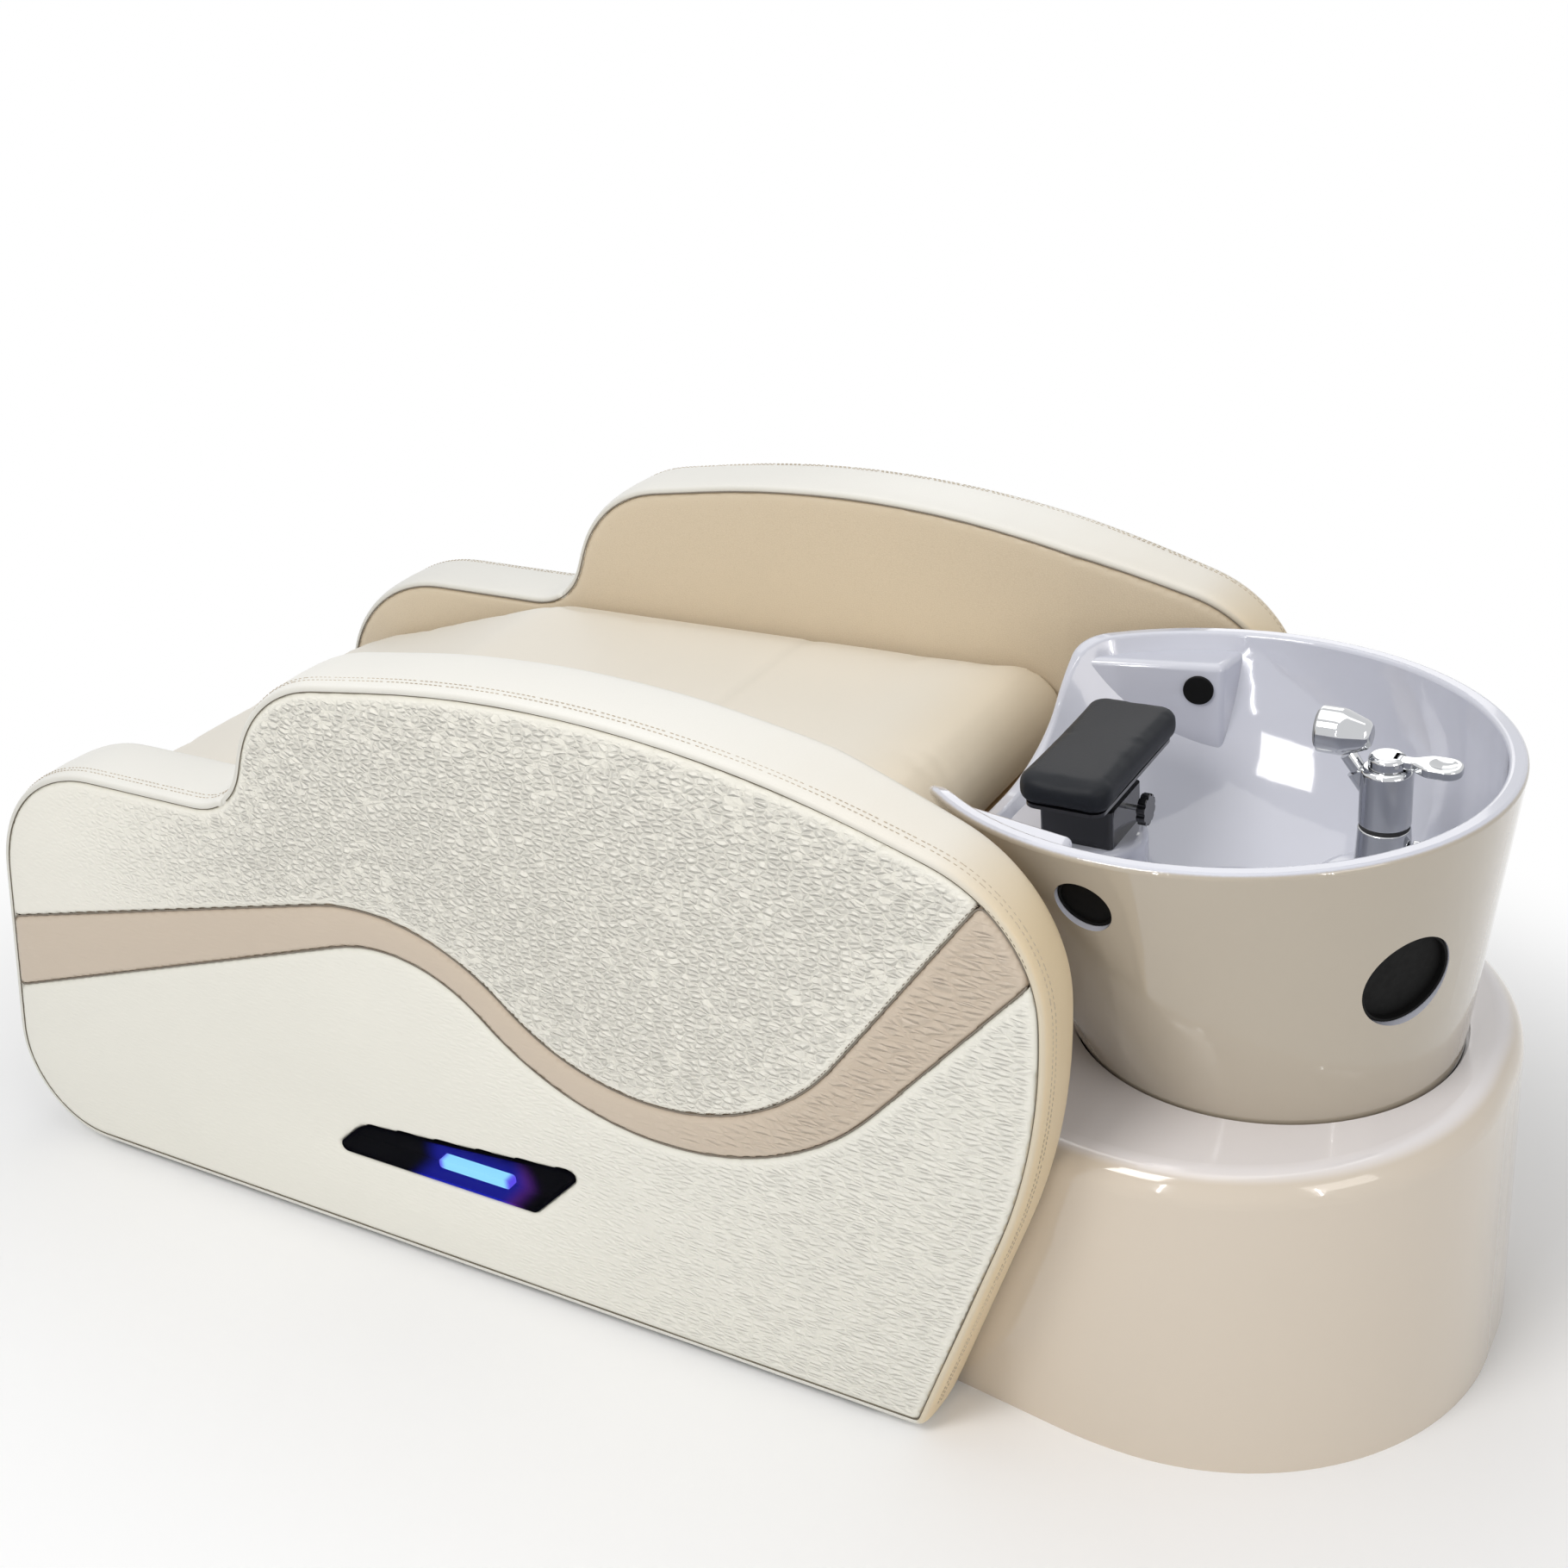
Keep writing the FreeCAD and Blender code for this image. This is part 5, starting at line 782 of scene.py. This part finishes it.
def tray_finish():
    """Matt black tray with a painted glow that stands in for the spill of the bar."""
    material, tree, shader = new_material("light_tray")
    link = tree.links.new
    use = add_node(tree, "ShaderNodeGroup", node_tree=handled_group)
    rough = add_node(tree, "ShaderNodeMapRange", values={"To Min": 0.45, "To Max": 0.60})
    place = add_node(tree, "ShaderNodeTexCoord")
    split = add_node(tree, "ShaderNodeSeparateXYZ")
    along = add_node(tree, "ShaderNodeMath", operation="SUBTRACT", values={1: bar_middle[0]})
    aside = add_node(tree, "ShaderNodeMath", operation="ABSOLUTE")
    past = add_node(tree, "ShaderNodeMath", operation="SUBTRACT", values={1: bar_half})
    beyond = add_node(tree, "ShaderNodeMath", operation="MAXIMUM", values={1: 0.0})
    above = add_node(tree, "ShaderNodeMath", operation="SUBTRACT", values={1: bar_middle[2]})
    apart = add_node(tree, "ShaderNodeCombineXYZ")
    reach = add_node(tree, "ShaderNodeVectorMath", operation="LENGTH")
    painted_spill_falloff = add_node(tree, "ShaderNodeMapRange", interpolation_type="SMOOTHERSTEP",
                   values={"From Min": 0.040, "From Max": 0.0})
    violet = add_node(tree, "ShaderNodeMapRange", interpolation_type="SMOOTHSTEP",
                      values={"From Min": bar_half - 0.005, "From Max": bar_half + 0.020})
    tint = add_node(tree, "ShaderNodeMix", data_type="RGBA",
                    values={6: (0.03, 0.04, 1.0, 1), 7: (0.30, 0.06, 0.80, 1)})
    painted_spill_glow = add_node(tree, "ShaderNodeMix", data_type="RGBA", values={6: (0, 0, 0, 1)})
    link(use.outputs["Smudge"], rough.inputs["Value"])
    link(rough.outputs[0], shader.inputs["Roughness"])
    link(place.outputs["Object"], split.inputs[0])
    link(split.outputs["X"], along.inputs[0])
    link(along.outputs[0], aside.inputs[0])
    link(aside.outputs[0], past.inputs[0])
    link(past.outputs[0], beyond.inputs[0])
    link(split.outputs["Z"], above.inputs[0])
    link(beyond.outputs[0], apart.inputs["X"])
    link(above.outputs[0], apart.inputs["Z"])
    link(apart.outputs[0], reach.inputs[0])
    link(reach.outputs["Value"], painted_spill_falloff.inputs["Value"])
    link(along.outputs[0], violet.inputs["Value"])
    link(violet.outputs[0], tint.inputs["Factor"])
    link(painted_spill_falloff.outputs[0], painted_spill_glow.inputs["Factor"])
    link(tint.outputs[2], painted_spill_glow.inputs[7])
    link(painted_spill_glow.outputs[2], shader.inputs["Emission Color"])
    shader.inputs["Base Color"].default_value = (0.003, 0.003, 0.005, 1)
    shader.inputs["Specular IOR Level"].default_value = 0.0
    # Painted light: the tray glows blue and violet near the bar.
    shader.inputs["Emission Strength"].default_value = 0.45
    return material


def bar_finish():
    """Frosted bar, deeper blue at its ends."""
    material, tree, shader = new_material("blue_light")
    place = add_node(tree, "ShaderNodeTexCoord")
    split = add_node(tree, "ShaderNodeSeparateXYZ")
    along = add_node(tree, "ShaderNodeMath", operation="SUBTRACT", values={1: bar_middle[0]})
    aside = add_node(tree, "ShaderNodeMath", operation="ABSOLUTE")
    core = add_node(tree, "ShaderNodeMapRange", interpolation_type="SMOOTHSTEP",
                    values={"From Min": bar_half, "From Max": 0.8 * bar_half})
    tint = add_node(tree, "ShaderNodeMix", data_type="RGBA",
                    values={6: (0.10, 0.06, 0.75, 1), 7: (0.27, 0.68, 1.0, 1)})
    tree.links.new(place.outputs["Object"], split.inputs[0])
    tree.links.new(split.outputs["X"], along.inputs[0])
    tree.links.new(along.outputs[0], aside.inputs[0])
    tree.links.new(aside.outputs[0], core.inputs["Value"])
    tree.links.new(core.outputs[0], tint.inputs["Factor"])
    tree.links.new(tint.outputs[2], shader.inputs["Emission Color"])
    shader.inputs["Base Color"].default_value = (0.10, 0.20, 0.40, 1)
    shader.inputs["Roughness"].default_value = 0.4
    shader.inputs["Emission Strength"].default_value = 1.8
    return material


def lens_finish():
    """Smoked clear plastic with faint smudges."""
    material, tree, shader = new_material("smoked_lens")
    use = add_node(tree, "ShaderNodeGroup", node_tree=handled_group, values={"Smudge Scale": 20.0})
    rough = add_node(tree, "ShaderNodeMapRange", values={"To Min": 0.01, "To Max": 0.06})
    tree.links.new(use.outputs["Smudge"], rough.inputs["Value"])
    tree.links.new(rough.outputs[0], shader.inputs["Roughness"])
    shader.inputs["Base Color"].default_value = (0.004, 0.004, 0.007, 1)
    shader.inputs["Specular IOR Level"].default_value = 0.05
    shader.inputs["Alpha"].default_value = 0.25
    return material


light_tray = tray_finish()
blue_light = bar_finish()
smoked_lens = lens_finish()
for side in ("left", "right"):
    finish_nodes(light_tray, f"light_housing_{side}")
    finish_nodes(blue_light, f"light_bar_{side}")
    finish_nodes(smoked_lens, f"light_lens_{side}")

# Mattress and foot board. One long foam block under cream leather that bends down at the knee and rolls over
# at the basin, with a cross seam under the back. The board below its foot end has the same leather.
swell_pressure = 4.0
swell_frames = 20


def swollen(node, name, voxel, shrink, cap, inside):
    """Cushion blown up by a cloth simulation from a slightly smaller copy of a node, kept inside a box."""
    piece = remeshed(node, name, voxel)
    skin = piece.data
    normals = [vert.normal.copy() for vert in skin.vertices]
    for vert, normal in zip(skin.vertices, normals):
        vert.co -= normal * shrink
    rest = [vert.co.copy() for vert in skin.vertices]
    cloth = piece.modifiers.new("swell", "CLOTH")
    cloth.settings.use_pressure = True
    cloth.settings.uniform_pressure_force = swell_pressure
    cloth.settings.effector_weights.gravity = 0.0
    for number in range(1, swell_frames + 1):
        scene.frame_set(number)
    blown = piece.evaluated_get(bpy.context.evaluated_depsgraph_get()).data
    moved = [vert.co.copy() for vert in blown.vertices]
    piece.modifiers.clear()
    scene.frame_set(1)
    for vert, start, end in zip(skin.vertices, rest, moved):
        step = end - start
        vert.co = start + step * min(1.0, cap / max(step.length, 1e-9))
    low, high = inside
    for vert in skin.vertices:
        for axis in range(3):
            vert.co[axis] = min(max(vert.co[axis], low[axis]), high[axis])
    finer = piece.modifiers.new("finer", "SUBSURF")
    finer.levels = 1
    finer.render_levels = 1
    return piece


mattress_low, mattress_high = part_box("mattress")
mattress_side = 0.2755
open_top = 1.0
mattress_room = ((mattress_low[0], -mattress_side, mattress_low[2]),
                 (mattress_high[0], mattress_side, open_top))
mattress = swollen("mattress", "mattress_cover", voxel=0.008, shrink=0.0015, cap=0.010, inside=mattress_room)
back_seam = -0.032
back_seam_reach = 0.007
back_seam_depth = 0.0022
back_seam_shade = 0.15
cushion_grain = 0.25
cushion_warm = 0.25
roll_warm = 0.5
roll_reach = (0.15, 0.32)
seam_shade_marks = []
warm_marks = []
for vert in mattress.data.vertices:
    upper = smooth(0.0, 0.6, vert.normal.z)
    groove = math.exp(-((vert.co.x - back_seam) / back_seam_reach) ** 2)
    vert.co.z -= back_seam_depth * groove * upper
    seam_shade_marks.append(back_seam_shade * groove * upper)
    warm_marks.append(cushion_warm + roll_warm * smooth(*roll_reach, vert.co.x))
mark(mattress, "seam", seam_shade_marks)
mark(mattress, "grain", [cushion_grain] * len(seam_shade_marks))
mark(mattress, "warm", warm_marks)
dress(mattress, cream, "cream_leather", "bed", 0.85, "mattress")

board_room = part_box("foot_board")
foot_board = swollen("foot_board", "foot_board_cover", voxel=0.006, shrink=0.003, cap=0.004,
                     inside=board_room)
mark(foot_board, "grain", [cushion_grain] * len(foot_board.data.vertices))
dress(foot_board, cream, "cream_leather", "bed", 0.95, "foot_board")

# Pedestal. A hollow moulded shell in glossy warm white, bolted to the bed's frame. Inside it a welded steel
# stand carries the basin on a rubber ring.


def glazed(name, clear, clear_start, warm, warm_full, facing, gloss):
    """Glossy shell that goes from one colour to another as its skin turns; facing puts out that turn. The
    turn paints light: a painted reflection on the pedestal's tops, and painted shade and a painted reflection
    on the basin.
    """
    material, tree, shader = new_material(name)
    link = tree.links.new
    use = add_node(tree, "ShaderNodeGroup", node_tree=handled_group)
    turn = add_node(tree, "ShaderNodeMapRange", interpolation_type="SMOOTHSTEP",
                    values={"From Min": clear_start, "From Max": warm_full})
    tint = add_node(tree, "ShaderNodeMix", data_type="RGBA", values={6: (*clear, 1), 7: (*warm, 1)})
    dull = add_node(tree, "ShaderNodeMix", data_type="RGBA", values={7: (*[0.9 * part for part in warm], 1)})
    faint = add_node(tree, "ShaderNodeMath", operation="MULTIPLY", values={1: 0.12})
    rough = add_node(tree, "ShaderNodeMapRange", values={"To Min": gloss[0], "To Max": gloss[1]})
    bump = add_node(tree, "ShaderNodeBump", values={"Distance": 0.00002})
    link(facing(tree), turn.inputs["Value"])
    link(turn.outputs[0], tint.inputs["Factor"])
    link(use.outputs["Smudge"], faint.inputs[0])
    link(faint.outputs[0], dull.inputs["Factor"])
    link(tint.outputs[2], dull.inputs[6])
    link(dull.outputs[2], shader.inputs["Base Color"])
    link(use.outputs["Smudge"], rough.inputs["Value"])
    link(rough.outputs[0], shader.inputs["Roughness"])
    link(use.outputs["Peel"], bump.inputs["Height"])
    link(bump.outputs[0], shader.inputs["Normal"])
    shader.inputs["Coat Weight"].default_value = 0.7
    shader.inputs["Coat Roughness"].default_value = 0.03
    return material


def faces_up(tree):
    """Output of how far a skin faces up, from 1 to 0 on an upright wall."""
    place = add_node(tree, "ShaderNodeTexCoord")
    split = add_node(tree, "ShaderNodeSeparateXYZ")
    tree.links.new(place.outputs["Normal"], split.inputs[0])
    return split.outputs["Z"]


# Painted reflection: the flat tops are painted a paler white than the cream walls.
white_moulding = glazed("white_moulding", clear=(0.86, 0.83, 0.84), clear_start=0.98,
                        warm=(0.66, 0.575, 0.47), warm_full=0.70, facing=faces_up, gloss=(0.08, 0.16))
finish_nodes(white_moulding, "pedestal_shell")
finish_nodes(zinc_steel, "basin_stand")
finish_nodes(black_rubber, "basin_gasket")

# Basin. One slip cast ceramic bowl with a thick rolled rim, a neck cut at the front and a ledge at each side.
# The glaze is painted a dim cool white inside and on the rim, darkened as painted shade, and a darker warm
# colour outside, a painted reflection of warm surroundings. Black plastic covers and caps close its casting
# holes.
bowl_middle = (0.605, 0.0, 0.0)


def faces_out(tree):
    """Output of how far a skin faces away from the middle of the bowl."""
    place = add_node(tree, "ShaderNodeTexCoord")
    apart = add_node(tree, "ShaderNodeVectorMath", operation="SUBTRACT", values={1: bowl_middle})
    level = add_node(tree, "ShaderNodeVectorMath", operation="MULTIPLY", values={1: (1, 1, 0)})
    away = add_node(tree, "ShaderNodeVectorMath", operation="NORMALIZE")
    along = add_node(tree, "ShaderNodeVectorMath", operation="DOT_PRODUCT")
    tree.links.new(place.outputs["Object"], apart.inputs[0])
    tree.links.new(apart.outputs[0], level.inputs[0])
    tree.links.new(level.outputs[0], away.inputs[0])
    tree.links.new(away.outputs[0], along.inputs[0])
    tree.links.new(place.outputs["Normal"], along.inputs[1])
    return along.outputs["Value"]


# Painted light: the glaze is a dim cool white where the skin faces in or up, as painted shade, and a darker
# warm colour where it faces out, as a painted reflection.
white_ceramic = glazed("white_ceramic", clear=(0.62, 0.635, 0.715), clear_start=0.55,
                       warm=(0.47, 0.41, 0.325), warm_full=0.93, facing=faces_out, gloss=(0.05, 0.10))
black_cover = hard_finish("black_cover", (0.004, 0.004, 0.004), (0.006, 0.006, 0.006), (0.55, 0.70),
                          peel=0.00005, specular=0.12)
black_gloss = hard_finish("black_gloss", (0.008, 0.008, 0.010), (0.014, 0.014, 0.016), (0.10, 0.22),
                          peel=0.00002, coat=0.4)
grey_plastic = hard_finish("grey_plastic", (0.26, 0.27, 0.28), (0.22, 0.22, 0.23), (0.35, 0.55), peel=0.0001)
chrome = hard_finish("chrome", (0.60, 0.61, 0.63), (0.54, 0.55, 0.56), (0.04, 0.12), peel=0.00001, metal=1.0)
finish_nodes(white_ceramic, "basin")
finish_nodes(black_cover, "front_covers", "rear_covers", "port_caps")
finish_nodes(chrome, "drain_flange")
finish_nodes(grey_plastic, "drain_nut", "tail_pipe")

# Mixer. Cast brass in bright chrome: a base through the basin's floor, a body with a lever on top, and a
# hand shower that sits in the body and draws out. The spray face is grey plastic, and a dark seal parts
# body and base.
finish_nodes(chrome, "faucet_base", "diverter_knob", "faucet_body", "handset", "lever_hub", "lever_paddle")
finish_nodes(black_rubber, "faucet_seal")
finish_nodes(grey_plastic, "spray_face")
finish_nodes(zinc_steel, "faucet_nut", "lever_pin")

# Neck rest. A foam pad under black leather, on a plate hinged to a gloss black bracket that is clamped to
# the basin's front. A steel rod with a black knob locks the tilt.
finish_nodes(black_gloss, "headrest_bracket", "headrest_plate", "lock_knob")
finish_nodes(zinc_steel, "bracket_nut", "hinge_pin", "lock_screw")
black_leather = leather("black_leather", (0.014, 0.016, 0.020),
                        pebbles=480.0, draw=0.8, depth=0.0001, gloss=(0.42, 0.58), specular=0.2)
rest_low, rest_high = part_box("headrest_pad")
rest_rise = 0.003
rest_grain = 0.5
rest_room = (rest_low, (rest_high[0], rest_high[1], rest_high[2] + rest_rise))
headrest = swollen("headrest_pad", "headrest_pad_cover", voxel=0.004, shrink=0.0006, cap=0.0022,
                   inside=rest_room)
mark(headrest, "grain", [rest_grain] * len(headrest.data.vertices))
dress(headrest, black_leather, "black_leather", "headrest", 0.95, "headrest_pad")
